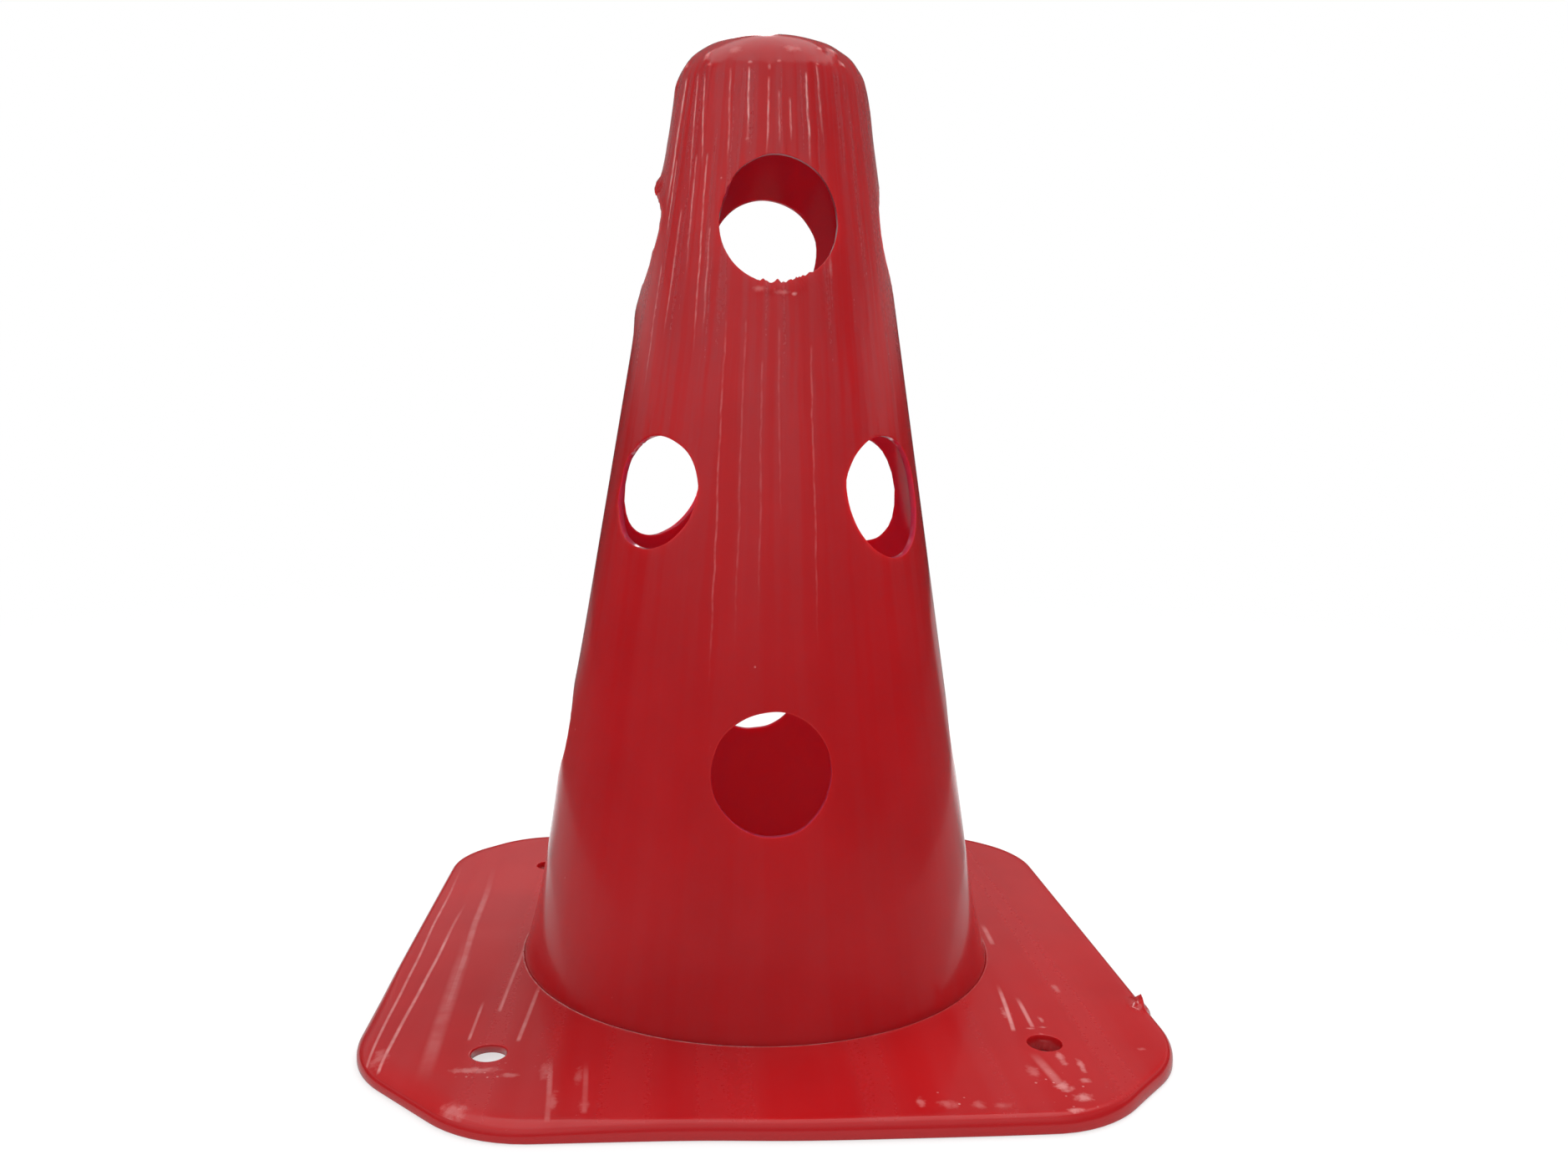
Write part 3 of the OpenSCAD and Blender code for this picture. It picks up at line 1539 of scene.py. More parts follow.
@dataclass(frozen=True)
class DragLinesAndGlints:
    """Thin pale lines along the flow, one to a strip, each with its own start and end: whitened
    drag marks, painted paler as glints along the ridges.

    Strips are counted across the flow: by radian round the cone, by metre over the plate.
    """

    strips: float
    width: float
    strength: float
    start: float
    length: float
    seed: float

    def draw(self, graph: Graph, flow: FlowPlace) -> Socket:
        """Wires the lines.

        Args:
            graph: The material's graph.
            flow: The surface's place by the flow.

        Returns:
            How strong a line is at each point, 0 to 1.
        """
        cell = graph.node("ShaderNodeTexVoronoi", voronoi_dimensions="1D")
        graph.feed(cell.inputs["W"], graph.math("ADD", flow.across, self.seed))
        cell.inputs["Scale"].default_value = self.strips
        metric = graph.math("DIVIDE", cell.outputs["Distance"], self.strips)
        metric = graph.math("MULTIPLY", metric, flow.pitch)
        line = graph.ramp(metric, 0.35 * self.width, self.width, 1.0, 0.0)
        draw = graph.node("ShaderNodeSeparateColor")
        graph.feed(draw.inputs[0], cell.outputs["Color"])
        level, late, early = draw.outputs
        begin = graph.math("MULTIPLY_ADD", late, -0.25 * self.length, self.start)
        reach = graph.math("MULTIPLY_ADD", early, 0.85 * self.length, 0.15 * self.length)
        end = graph.math("SUBTRACT", begin, reach)
        above = graph.math("SUBTRACT", flow.along, end)
        below = graph.math("SUBTRACT", begin, flow.along)
        fade = graph.ramp(above, 0.0, 0.3 * self.length)
        fade = graph.math("MULTIPLY", fade, graph.ramp(below, 0.0, 0.004))
        where = graph.join(
            graph.math("MULTIPLY", flow.across, 0.5 * self.strips),
            graph.math("MULTIPLY", flow.along, 160.0),
        )
        beads = graph.ramp(graph.noise(where, 1.0, 2.0), 0.38, 0.62, 0.25, 1.0)
        level = graph.math("POWER", level, 1.6)
        strong = graph.math("MULTIPLY", graph.math("MULTIPLY", level, beads), self.strength)
        return graph.math("MULTIPLY", graph.math("MULTIPLY", line, fade), strong)


@dataclass(frozen=True)
class StreakAndGlint:
    """One pale line, a whitened drag mark painted paler as a glint, from where it fades out to
    where it is strongest.

    Places are across and along the flow: degrees round the cone and millimetres of height, or
    millimetres of the plate's x and of -y. The width is in millimetres.
    """

    foot: tuple[float, float]
    head: tuple[float, float]
    strength: float = 0.6
    width: float = 0.45
    soft_end: float = 2.0

    def draw(self, graph: Graph, flow: FlowPlace, unit: float) -> Socket:
        """Wires the line.

        Args:
            graph: The material's graph.
            flow: The surface's place by the flow.
            unit: What one of the streak's units across measures on that place.

        Returns:
            How strong the line is at each point, 0 to 1.
        """
        low, high = self.foot[1] * MM, self.head[1] * MM
        slope = (self.head[0] - self.foot[0]) * unit / (high - low)
        middle = graph.math("MULTIPLY_ADD", flow.along, slope, self.foot[0] * unit - slope * low)
        gap = graph.math("ABSOLUTE", graph.math("SUBTRACT", flow.across, middle))
        gap = graph.math("MULTIPLY", gap, flow.pitch)
        line = graph.ramp(gap, 0.25 * self.width * MM, self.width * MM, self.strength, 0.0)
        fade = graph.ramp(flow.along, low, low + 0.4 * (high - low))
        end = graph.ramp(flow.along, high - self.soft_end * MM, high, 1.0, 0.0)
        return graph.math("MULTIPLY", line, graph.math("MULTIPLY", fade, end))


@dataclass(frozen=True)
class Patch:
    """A round stretch of the surface that is strewn with painted sparkle specks, in metres."""

    place: Triple
    radius: float


@dataclass(frozen=True)
class PaintedGlint:
    """A painted glint: a small pale spot with ragged edges where a bump catches the light. Its
    middle and half sizes are in metres.
    """

    place: Triple
    size: Triple
    strength: float

    def draw(self, graph: Graph, place: Socket, ragged: Socket) -> Socket:
        """Wires the painted glint.

        Args:
            graph: The material's graph.
            place: The surface's place in metres.
            ragged: Noise about 0 that frays the edge.

        Returns:
            How strong the painted glint is at each point.
        """
        offset = graph.vector("SUBTRACT", place, self.place)
        apart = graph.measure("LENGTH", graph.vector("DIVIDE", offset, self.size))
        reach = graph.math("MULTIPLY_ADD", ragged, 2.0, apart)
        return graph.ramp(reach, 0.15, 1.25, self.strength, 0.0)


@dataclass(frozen=True)
class MouldedPlastic:
    """Glossy through-dyed plastic with pale marks along its flow: whitened drag marks with painted
    sheen, glints and sparkle, and painted shade on its inner and under faces.
    """

    name: str
    flow: Flow
    colour: Triple
    deep: Triple
    # Colour of the broad pale bands: partly haze in the plastic, partly painted sheen.
    pale: Triple
    # A colour of its own for the inner and under faces, tuned to how they look in shade: painted
    # shade.
    inside: Triple
    # How far the bands go towards the pale colour: haze with painted sheen.
    bands: float
    # The pale lines and streaks: whitened drag marks with painted glints along the ridges.
    lines: tuple[DragLinesAndGlints, ...]
    streaks: tuple[StreakAndGlint, ...] = ()
    plain_from: float = 0.0
    plain_to: float = 0.0
    patches: tuple[Patch, ...] = ()
    # Painted glints: pale spots where bumps and smears catch the light.
    painted_glints: tuple[PaintedGlint, ...] = ()
    # Strength of the specks: pale dots on small pits, painted sparkle over a real bump.
    painted_sparkle: float = 0.5
    # Radius of a painted highlight ring along the flash at the cone's foot, brightest near a given
    # place at the front left.
    seam: float = 0.0
    seam_highlight_peak: Triple = (-0.043, -0.066, 0.005)
    roughness: float = 0.22
    coat: float = 0.25
    coat_roughness: float = 0.05
    glow: float = 0.25
    glow_reach: float = 0.004
    # Colour of the pale lines, specks and glints: whitened plastic with painted glints and
    # sparkle.
    whitening_and_glint: Triple = (0.80, 0.36, 0.35)
    # How far the inner side darkens towards the crown: painted shade.
    crown_inside_shade: float = 0.62
    index: float = 1.49
    bump: float = 0.4
    bump_depth: float = 0.00015

    def material(self) -> bpy.types.Material:
        """Wires the plastic.

        Returns:
            The material.
        """
        made = bpy.data.materials.new(self.name)
        graph = Graph(made)
        place = graph.node("ShaderNodeTexCoord").outputs["Object"]
        flow = self._flow(graph, place)
        bands = self._haze_and_sheen_bands(graph, flow)
        lines: Socket | float = 0.0
        for drag in self.lines:
            lines = graph.math("MAXIMUM", lines, drag.draw(graph, flow))
        lines = graph.math("MULTIPLY", lines, self._elsewhere(graph, flow.across))
        lines = graph.math("MAXIMUM", lines, self._streaks(graph, flow))
        # The seam ring: a painted highlight along the flash.
        if self.seam:
            lines = graph.math("MAXIMUM", lines, self._painted_seam_highlight(graph, place))
        outside = self._outside(graph, place)
        bands = graph.math("MULTIPLY", bands, outside)
        lines = graph.math("MULTIPLY", lines, outside)
        # Painted sparkle specks and painted glints, which the bump also raises.
        painted_sparkle = self._painted_sparkle(graph, place)
        if self.painted_glints:
            ragged = graph.math("SUBTRACT", graph.noise(place, 420.0, 3.0, 0.6), 0.47)
            # Painted glints, drawn as pale spots.
            for glint in self.painted_glints:
                painted_sparkle = graph.math("MAXIMUM", painted_sparkle, glint.draw(graph, place, ragged))
        painted_sparkle = graph.math("MULTIPLY", painted_sparkle, outside)
        grain = graph.noise(place, 900.0, 3.0, 0.6)
        cloud = graph.noise(place, 28.0, 3.0)

        base = graph.blend(graph.ramp(cloud, 0.3, 0.7), self.deep, self.colour)
        # Painted shade: the inner and under faces take their own shaded colour, darker towards the
        # crown.
        crown_shade = tuple(self.crown_inside_shade * part for part in self.inside)
        inside = graph.blend(graph.ramp(graph.parts(place)[2], 0.16, 0.26), self.inside, crown_shade)
        base = graph.blend(outside, inside, base)
        # Pale bands: partly haze, partly painted sheen.
        base = graph.blend(graph.math("MULTIPLY", bands, self.bands), base, self.pale)
        # Pale lines, specks and glints: whitened drag marks with painted glints and sparkle.
        base = graph.blend(graph.math("MAXIMUM", lines, painted_sparkle), base, self.whitening_and_glint)

        rough = graph.math("MULTIPLY_ADD", bands, 0.12, self.roughness - 0.05)
        rough = graph.math("MULTIPLY_ADD", graph.math("SUBTRACT", grain, 0.5), 0.08, rough)

        high = graph.math("MULTIPLY", grain, 0.20)
        high = graph.math("ADD", high, graph.math("MULTIPLY", lines, 0.6))
        high = graph.math("ADD", high, painted_sparkle)
        bump = graph.node("ShaderNodeBump")
        bump.inputs["Strength"].default_value = self.bump
        bump.inputs["Distance"].default_value = self.bump_depth
        graph.feed(bump.inputs["Height"], high)

        shader = graph.node("ShaderNodeBsdfPrincipled")
        graph.feed(shader.inputs["Base Color"], base)
        graph.feed(shader.inputs["Roughness"], rough)
        graph.feed(shader.inputs["Normal"], bump.outputs["Normal"])
        shader.inputs["IOR"].default_value = self.index
        shader.inputs["Coat Weight"].default_value = self.coat
        shader.inputs["Coat Roughness"].default_value = self.coat_roughness
        shader.inputs["Subsurface Weight"].default_value = self.glow
        shader.inputs["Subsurface Radius"].default_value = (1.0, 0.05, 0.05)
        shader.inputs["Subsurface Scale"].default_value = self.glow_reach
        out = graph.node("ShaderNodeOutputMaterial")
        graph.feed(out.inputs["Surface"], shader.outputs["BSDF"])
        return made

    def _flow(self, graph: Graph, place: Socket) -> FlowPlace:
        """Measures the surface by its flow.

        Args:
            graph: The material's graph.
            place: The surface's place in metres.

        Returns:
            The place by the flow.
        """
        x, y, z = graph.parts(place)
        if self.flow is Flow.ALONG_THE_PLATE:
            where = graph.join(graph.math("MULTIPLY", x, 0.4), y)
            sway = graph.math("SUBTRACT", graph.noise(where, 30.0, 0.0), 0.5)
            across = graph.math("MULTIPLY_ADD", sway, 0.0012, x)
            return FlowPlace(across, graph.math("MULTIPLY", y, -1.0), 1.0)
        angle = graph.math("ARCTAN2", x, graph.math("MULTIPLY", y, -1.0))
        radius = graph.measure("LENGTH", graph.vector("MULTIPLY", place, LEVEL))
        slow = graph.vector("MULTIPLY", place, (0.5, 0.5, 1.0))
        sway = graph.math("SUBTRACT", graph.noise(slow, 55.0, 3.0, 0.6), 0.5)
        return FlowPlace(graph.math("MULTIPLY_ADD", sway, 0.035, angle), z, radius)

    def _painted_seam_highlight(self, graph: Graph, place: Socket) -> Socket:
        """Wires a thin pale ring along the flash at the cone's foot: a painted highlight,
        brightest at the front left.

        Args:
            graph: The material's graph.
            place: The surface's place in metres.

        Returns:
            How strong the painted highlight is at each point.
        """
        radius = graph.measure("LENGTH", graph.vector("MULTIPLY", place, LEVEL))
        gap = graph.math("ABSOLUTE", graph.math("SUBTRACT", radius, self.seam))
        ring = graph.ramp(gap, 0.00012, 0.00034, 1.0, 0.0)
        apart = graph.measure("DISTANCE", place, self.seam_highlight_peak)
        side = graph.ramp(apart, 0.012, 0.10, 0.85, 0.15)
        beads = graph.ramp(graph.noise(place, 240.0, 3.0, 0.6), 0.35, 0.62, 0.45, 1.0)
        return graph.math("MULTIPLY", graph.math("MULTIPLY", ring, side), beads)

    def _outside(self, graph: Graph, place: Socket) -> Socket:
        """Tells the outer side, with its pale marks and painted glints, from the inner side with
        its painted shade.

        Args:
            graph: The material's graph.
            place: The surface's place in metres.

        Returns:
            1 on the cone's outer side or the plate's upper face, 0 inside and beneath.
        """
        normal = graph.node("ShaderNodeNewGeometry").outputs["True Normal"]
        if self.flow is Flow.ALONG_THE_PLATE:
            return graph.ramp(graph.parts(normal)[2], 0.55, 0.9)
        turned = graph.measure("DOT_PRODUCT", graph.vector("MULTIPLY", place, LEVEL), normal)
        return graph.ramp(turned, 0.0, 0.004)

    def _elsewhere(self, graph: Graph, across: Socket) -> Socket:
        """Tells where lines may be drawn at random.

        Args:
            graph: The material's graph.
            across: Place across the flow.

        Returns:
            0 over the stretch whose streaks are given one by one, 1 elsewhere.
        """
        unit = self._unit()
        soft = 4 * unit
        start, end = self.plain_from * unit, self.plain_to * unit
        before = graph.ramp(across, start - soft, start + soft, 1.0, 0.0)
        after = graph.ramp(across, end - soft, end + soft)
        return graph.math("MAXIMUM", before, after)

    def _unit(self) -> float:
        """What one of a streak's units across measures on the place across."""
        return math.radians(1) if self.flow is Flow.DOWN_THE_CONE else MM

    def _streaks(self, graph: Graph, flow: FlowPlace) -> Socket | float:
        """Wires the streaks that are given one by one, broken into beads: whitened drag marks with
        painted glints.

        Args:
            graph: The material's graph.
            flow: The surface's place by the flow.

        Returns:
            How strong a streak is at each point, 0 to 1.
        """
        lines: Socket | float = 0.0
        for streak in self.streaks:
            lines = graph.math("MAXIMUM", lines, streak.draw(graph, flow, self._unit()))
        if not self.streaks:
            return lines
        down = self.flow is Flow.DOWN_THE_CONE
        finer = 4.0 / self._unit() * MM if down else 0.8
        where = graph.join(graph.math("MULTIPLY", flow.across, finer), flow.along)
        beads = graph.noise(where, 210.0 if down else 90.0, 3.0, 0.6)
        beads = graph.ramp(beads, 0.36, 0.62, 0.30 if down else 0.6, 1.0)
        return graph.math("MULTIPLY", lines, beads)

    def _haze_and_sheen_bands(self, graph: Graph, flow: FlowPlace) -> Socket:
        """Wires broad pale bands, strongest where the flow began: partly haze in the plastic,
        partly painted sheen.

        Args:
            graph: The material's graph.
            flow: The surface's place by the flow.

        Returns:
            How pale a band is at each point.
        """
        metric = 0.05 if self.flow is Flow.DOWN_THE_CONE else 1.0
        where = graph.join(
            graph.math("MULTIPLY", flow.across, metric), graph.math("MULTIPLY", flow.along, 0.03)
        )
        if self.flow is Flow.ALONG_THE_PLATE:
            return graph.ramp(graph.noise(where, 60.0, 2.0), 0.38, 0.62)
        wide = graph.ramp(graph.noise(where, 170.0, 1.0), 0.45, 0.55)
        narrow = graph.ramp(graph.noise(where, 520.0, 2.0), 0.48, 0.62)
        both = graph.math("MULTIPLY_ADD", narrow, 0.28, graph.math("MULTIPLY", wide, 0.72))
        both = graph.math("MULTIPLY", both, graph.ramp(flow.along, 0.284, 0.292, 1.0, 0.15))
        return graph.math("MULTIPLY", both, graph.ramp(flow.along, 0.09, 0.25, 0.12, 1.0))

    def _painted_sparkle(self, graph: Graph, place: Socket) -> Socket:
        """Wires small scattered specks: pits with a real bump, painted pale as sparkle.

        Args:
            graph: The material's graph.
            place: The surface's place in metres.

        Returns:
            How strong a painted sparkle speck is at each point.
        """
        # Painted sparkle: pale specks strewn at random, and thickly in the given patches.
        cell = graph.node("ShaderNodeTexVoronoi")
        graph.feed(cell.inputs["Vector"], place)
        cell.inputs["Scale"].default_value = 330.0
        dot = graph.ramp(cell.outputs["Distance"], 0.06, 0.16, 1.0, 0.0)
        pick = graph.ramp(graph.noise(place, 140.0, 1.0), 0.76, 0.80)
        for patch in self.patches:
            apart = graph.measure("DISTANCE", place, patch.place)
            here = graph.ramp(apart, 0.3 * patch.radius, patch.radius, 1.0, 0.0)
            pick = graph.math("MAXIMUM", pick, here)
        return graph.math("MULTIPLY", graph.math("MULTIPLY", dot, pick), self.painted_sparkle)


# ---- Studio ----


@dataclass(frozen=True)
class PhotoCamera:
    """The camera that saw the cone, in metres and degrees."""

    place: Triple = (-0.026, -0.41799, 0.17462)
    heading: float = 4.5516
    pitch: float = 6.4141
    roll: float = 1.1162
    lens: float = 28.8656
    sensor: float = 36.0

    def set_up(self) -> bpy.types.Object:
        """Makes it the scene's camera.

        Returns:
            The camera.
        """
        heading, pitch, roll = (math.radians(a) for a in (self.heading, self.pitch, self.roll))
        forward = Vector(
            (
                math.sin(heading) * math.cos(pitch),
                math.cos(heading) * math.cos(pitch),
                -math.sin(pitch),
            )
        )
        level = Vector((math.cos(heading), -math.sin(heading), 0))
        upward = level.cross(forward)
        right = math.cos(roll) * level + math.sin(roll) * upward
        up = -math.sin(roll) * level + math.cos(roll) * upward
        turned = Matrix((right, up, -forward)).transposed().to_4x4()
        data = bpy.data.cameras.new("photo_camera")
        data.lens = self.lens
        data.sensor_width = self.sensor
        data.sensor_fit = "HORIZONTAL"
        data.clip_start = 0.01
        made = add_object("photo_camera", data)
        made.matrix_world = Matrix.Translation(self.place) @ turned
        bpy.context.scene.camera = made
        return made


@dataclass(frozen=True)
class SoftLamp:
    """A square softbox that faces the cone, in metres and watts. Gloss sees the cards instead."""

    name: str
    place: Triple
    side: float
    power: float

    def set_up(self) -> None:
        """Adds the lamp to the scene."""
        data = bpy.data.lights.new(self.name, "AREA")
        data.shape = "SQUARE"
        data.size = self.side
        data.energy = self.power
        made = add_object(self.name, data)
        made.location = self.place
        made.visible_glossy = False
        aim = Vector((0, 0, 0.12)) - made.location
        made.rotation_euler = aim.to_track_quat("-Z", "Y").to_euler()


class GlowCard(ABC):
    """A card that only glossy surfaces see: a strip of faces between two edges."""

    name: str

    @abstractmethod
    def edges(self) -> tuple[list[tuple[float, ...]], list[tuple[float, ...]]]:
        """The card's two edges, point for point, in metres."""

    @abstractmethod
    def brightness(self, graph: Graph, place: Socket) -> Socket:
        """Wires how bright the card is.

        Args:
            graph: The material's graph.
            place: The surface's place in metres.

        Returns:
            The brightness.
        """

    def set_up(self) -> None:
        """Adds the card to the scene."""
        one, two = self.edges()
        count = len(one)
        faces = [(i, i + 1, count + i + 1, count + i) for i in range(count - 1)]
        mesh = bpy.data.meshes.new(self.name)
        mesh.from_pydata(one + two, [], faces)
        glow = bpy.data.materials.new(self.name)
        graph = Graph(glow)
        place = graph.node("ShaderNodeTexCoord").outputs["Object"]
        light = graph.node("ShaderNodeEmission")
        graph.feed(light.inputs["Strength"], self.brightness(graph, place))
        out = graph.node("ShaderNodeOutputMaterial")
        graph.feed(out.inputs["Surface"], light.outputs[0])
        mesh.materials.append(glow)
        card = add_object(self.name, mesh)
        card.visible_camera = card.visible_diffuse = card.visible_shadow = False
        card.visible_transmission = False


@dataclass(frozen=True)
class ReflectionCard(GlowCard):
    """An upright curved card.

    Azimuths are degrees from the front towards the right. The levels are heights above the
    floor in metres, with the card's brightness at each. The sides are azimuths from -180 to
    180, with what the brightness is multiplied by at each.
    """

    name: str
    start: float
    end: float
    radius: float
    levels: tuple[tuple[float, float], ...]
    sides: tuple[tuple[float, float], ...] = ((-180.0, 1.0), (180.0, 1.0))

    def edges(self) -> tuple[list[tuple[float, ...]], list[tuple[float, ...]]]:
        """Lays out the card's foot and head.

        Returns:
            The points of the foot and of the head.
        """
        low, high = self.levels[0][0], self.levels[-1][0]
        azimuth = np.radians(np.linspace(self.start, self.end, 33))
        foot = [(self.radius * math.sin(a), -self.radius * math.cos(a), low) for a in azimuth]
        return foot, [(x, y, high) for x, y, _ in foot]

    def brightness(self, graph: Graph, place: Socket) -> Socket:
        """Wires light that changes up the card and along it.

        Args:
            graph: The material's graph.
            place: The surface's place in metres.

        Returns:
            The brightness.
        """
        up = graph.stops(graph.parts(place)[2], self.levels)
        return graph.math("MULTIPLY", up, graph.stops(graph.turned(place), self.sides))


@dataclass(frozen=True)
class LevelCard(GlowCard):
    """A flat ring of card, in metres.

    The sides are azimuths from -180 to 180, with the card's brightness at each.
    """

    name: str
    near: float
    far: float
    height: float
    sides: tuple[tuple[float, float], ...]

    def edges(self) -> tuple[list[tuple[float, ...]], list[tuple[float, ...]]]:
        """Lays out the ring's edges.

        Returns:
            The points of the inner edge and of the outer one.
        """
        azimuth = np.radians(np.linspace(-180, 180, 121))
        inner, outer = (
            [(r * math.sin(a), -r * math.cos(a), self.height) for a in azimuth]
            for r in (self.near, self.far)
        )
        return inner, outer

    def brightness(self, graph: Graph, place: Socket) -> Socket:
        """Light that changes round the ring."""
        return graph.stops(graph.turned(place), self.sides)


@dataclass(frozen=True)
class Studio:
    """Pale floor, even light all round, soft lamps and the cards that the gloss reflects."""

    lamps: tuple[SoftLamp, ...]
    cards: tuple[GlowCard, ...]
    ambient: float = 0.76
    floor_half: float = 6.0
    floor_diffuse: float = 0.34
    floor_lift: float = 0.66
    # Painted shade on the floor: its lift is left off within this radius under the cone, and round
    # the shaded spot under the front right peg hole.
    shade_under_cone_radius: float = 0.088
    shaded: Triple = (0.082, -0.071, 0.0)
    shaded_radius: float = 0.013

    def set_up(self) -> None:
        """Builds the studio."""
        scene = bpy.context.scene
        scene.view_settings.view_transform = "Standard"
        self._surround(scene)
        self._floor()
        for fitting in (*self.lamps, *self.cards):
            fitting.set_up()

    def _seen(self, graph: Graph) -> Socket:
        """Tells the rays that see the white background.

        Args:
            graph: The material's graph.

        Returns:
            1 on rays from the camera, from gloss or through clear material.
        """
        path = graph.node("ShaderNodeLightPath").outputs
        seen = graph.math("MAXIMUM", path["Is Camera Ray"], path["Is Glossy Ray"])
        return graph.math("MAXIMUM", seen, path["Is Transmission Ray"])

    def _surround(self, scene: bpy.types.Scene) -> None:
        """Gives the scene its white background and plain light all round.

        Args:
            scene: The scene.
        """
        world = bpy.data.worlds.new("studio")
        scene.world = world
        graph = Graph(world)
        shade = graph.node("ShaderNodeBackground")
        strength = graph.math("MULTIPLY_ADD", self._seen(graph), 1.0 - self.ambient, self.ambient)
        graph.feed(shade.inputs["Strength"], strength)
        shade.inputs["Color"].default_value = (1.0, 1.0, 1.0, 1.0)
        out = graph.node("ShaderNodeOutputWorld")
        graph.feed(out.inputs["Surface"], shade.outputs[0])

    def _floor(self) -> None:
        """A wide white floor that keeps the cone's shadow and fades into the background, with
        painted shade where its lift is left off: under the cone and under the front right peg
        hole.
        """
        half = self.floor_half
        mesh = bpy.data.meshes.new("floor")
        mesh.from_pydata(
            [(-half, -half, 0), (half, -half, 0), (half, half, 0), (-half, half, 0)],
            [],
            [(0, 1, 2, 3)],
        )
        made = bpy.data.materials.new("floor_paper")
        graph = Graph(made)
        bounce = graph.node("ShaderNodeBsdfDiffuse")
        bounce.inputs["Color"].default_value = (0.8, 0.8, 0.8, 1.0)
        shown = graph.node("ShaderNodeBsdfDiffuse")
        near = self.floor_diffuse
        shown.inputs["Color"].default_value = (near, near, near, 1.0)
        place = graph.node("ShaderNodeTexCoord").outputs["Object"]
        flat = graph.measure("LENGTH", place)
        lift = graph.node("ShaderNodeEmission")
        # Painted shade: no lift under the cone, nor at the shaded spot.
        under = graph.ramp(flat, self.shade_under_cone_radius - 0.006, self.shade_under_cone_radius)
        apart = graph.measure("DISTANCE", place, self.shaded)
        shade = graph.ramp(apart, 0.8 * self.shaded_radius, self.shaded_radius)
        under = graph.math("MULTIPLY", under, shade)
        graph.feed(lift.inputs["Strength"], graph.math("MULTIPLY", under, self.floor_lift))
        both = graph.node("ShaderNodeAddShader")
        graph.feed(both.inputs[0], shown.outputs[0])
        graph.feed(both.inputs[1], lift.outputs[0])
        far = graph.node("ShaderNodeEmission")
        away = graph.ramp(flat, 0.25, 1.1)
        fade = graph.node("ShaderNodeMixShader")
        for socket, value in zip(fade.inputs, (away, both.outputs[0], far.outputs[0])):
            graph.feed(socket, value)
        pick = graph.node("ShaderNodeMixShader")
        parts = (self._seen(graph), bounce.outputs[0], fade.outputs[0])
        for socket, value in zip(pick.inputs, parts):
            graph.feed(socket, value)
        out = graph.node("ShaderNodeOutputMaterial")
        graph.feed(out.inputs["Surface"], pick.outputs[0])
        mesh.materials.append(made)
        floor = add_object("floor", mesh)
        floor.location.z = FLOOR_DROP


# ---- This cone ----


# Where the cone's shoulder arc starts, and its middle's distance from the axis
SHOULDER_START = 284.9
SHOULDER_X = 13.19


def on_cone(azimuth: float, z: float) -> Triple:
    """Finds a place on the outside of the plain cone.

    Args:
        azimuth: Degrees from the front towards the right.
        z: Height in millimetres.

    Returns:
        The place in metres.
    """
    taper = (ConeBody.foot_radius - ConeBody.crown_radius) / (
        ConeBody.height - ConeBody.collar_height
    )
    radius = ConeBody.crown_radius + taper * (ConeBody.height - z)
    if z > SHOULDER_START:
        rise = z - (ConeBody.height - ConeBody.shoulder)
        radius = SHOULDER_X + math.sqrt(ConeBody.shoulder**2 - rise**2)
    turn = math.radians(azimuth)
    return radius * math.sin(turn) * MM, -radius * math.cos(turn) * MM, z * MM


def cone_painted_glints() -> tuple[PaintedGlint, ...]:
    """The painted glints on the front of the cone, on its lumps, beads and smears, with a painted
    highlight along the crown's top edge.
    """
    marks = (
        (-26.7, 292.4, 2.2, 1.6, 0.30),
        (9.1, 293.1, 2.6, 1.6, 0.34),
        (-69.7, 291.2, 1.6, 2.4, 0.70),
        (-47.6, 292.0, 1.4, 2.0, 0.60),
        (29.6, 294.4, 1.3, 1.0, 0.60),
        (43.3, 294.9, 1.8, 1.0, 0.60),
        (45.1, 290.6, 1.0, 0.9, 0.80),
        (-42.5, 288.8, 0.9, 0.6, 0.50),
        (-15.6, 288.0, 0.8, 0.5, 0.55),
        (-4.7, 286.4, 0.6, 1.2, 0.40),
        (0.8, 288.3, 0.7, 0.5, 0.45),
        (23.7, 288.8, 0.7, 0.5, 0.45),
        (-14.9, 265.0, 0.8, 0.8, 0.45),
        (-7.0, 220.6, 2.2, 0.9, 0.28),
        (3.0, 219.6, 2.8, 0.8, 0.34),
        (7.1, 219.3, 0.9, 0.7, 0.75),
        (24.0, 227.5, 0.7, 4.0, 0.22),
        # Painted highlight along the crown's top edge.
        (-9.0, 299.3, 4.2, 0.5, 0.85),
    )
    return tuple(
        PaintedGlint(on_cone(azimuth, z), (wide * MM, wide * MM, tall * MM), strength)
        for azimuth, z, wide, tall, strength in marks
    )


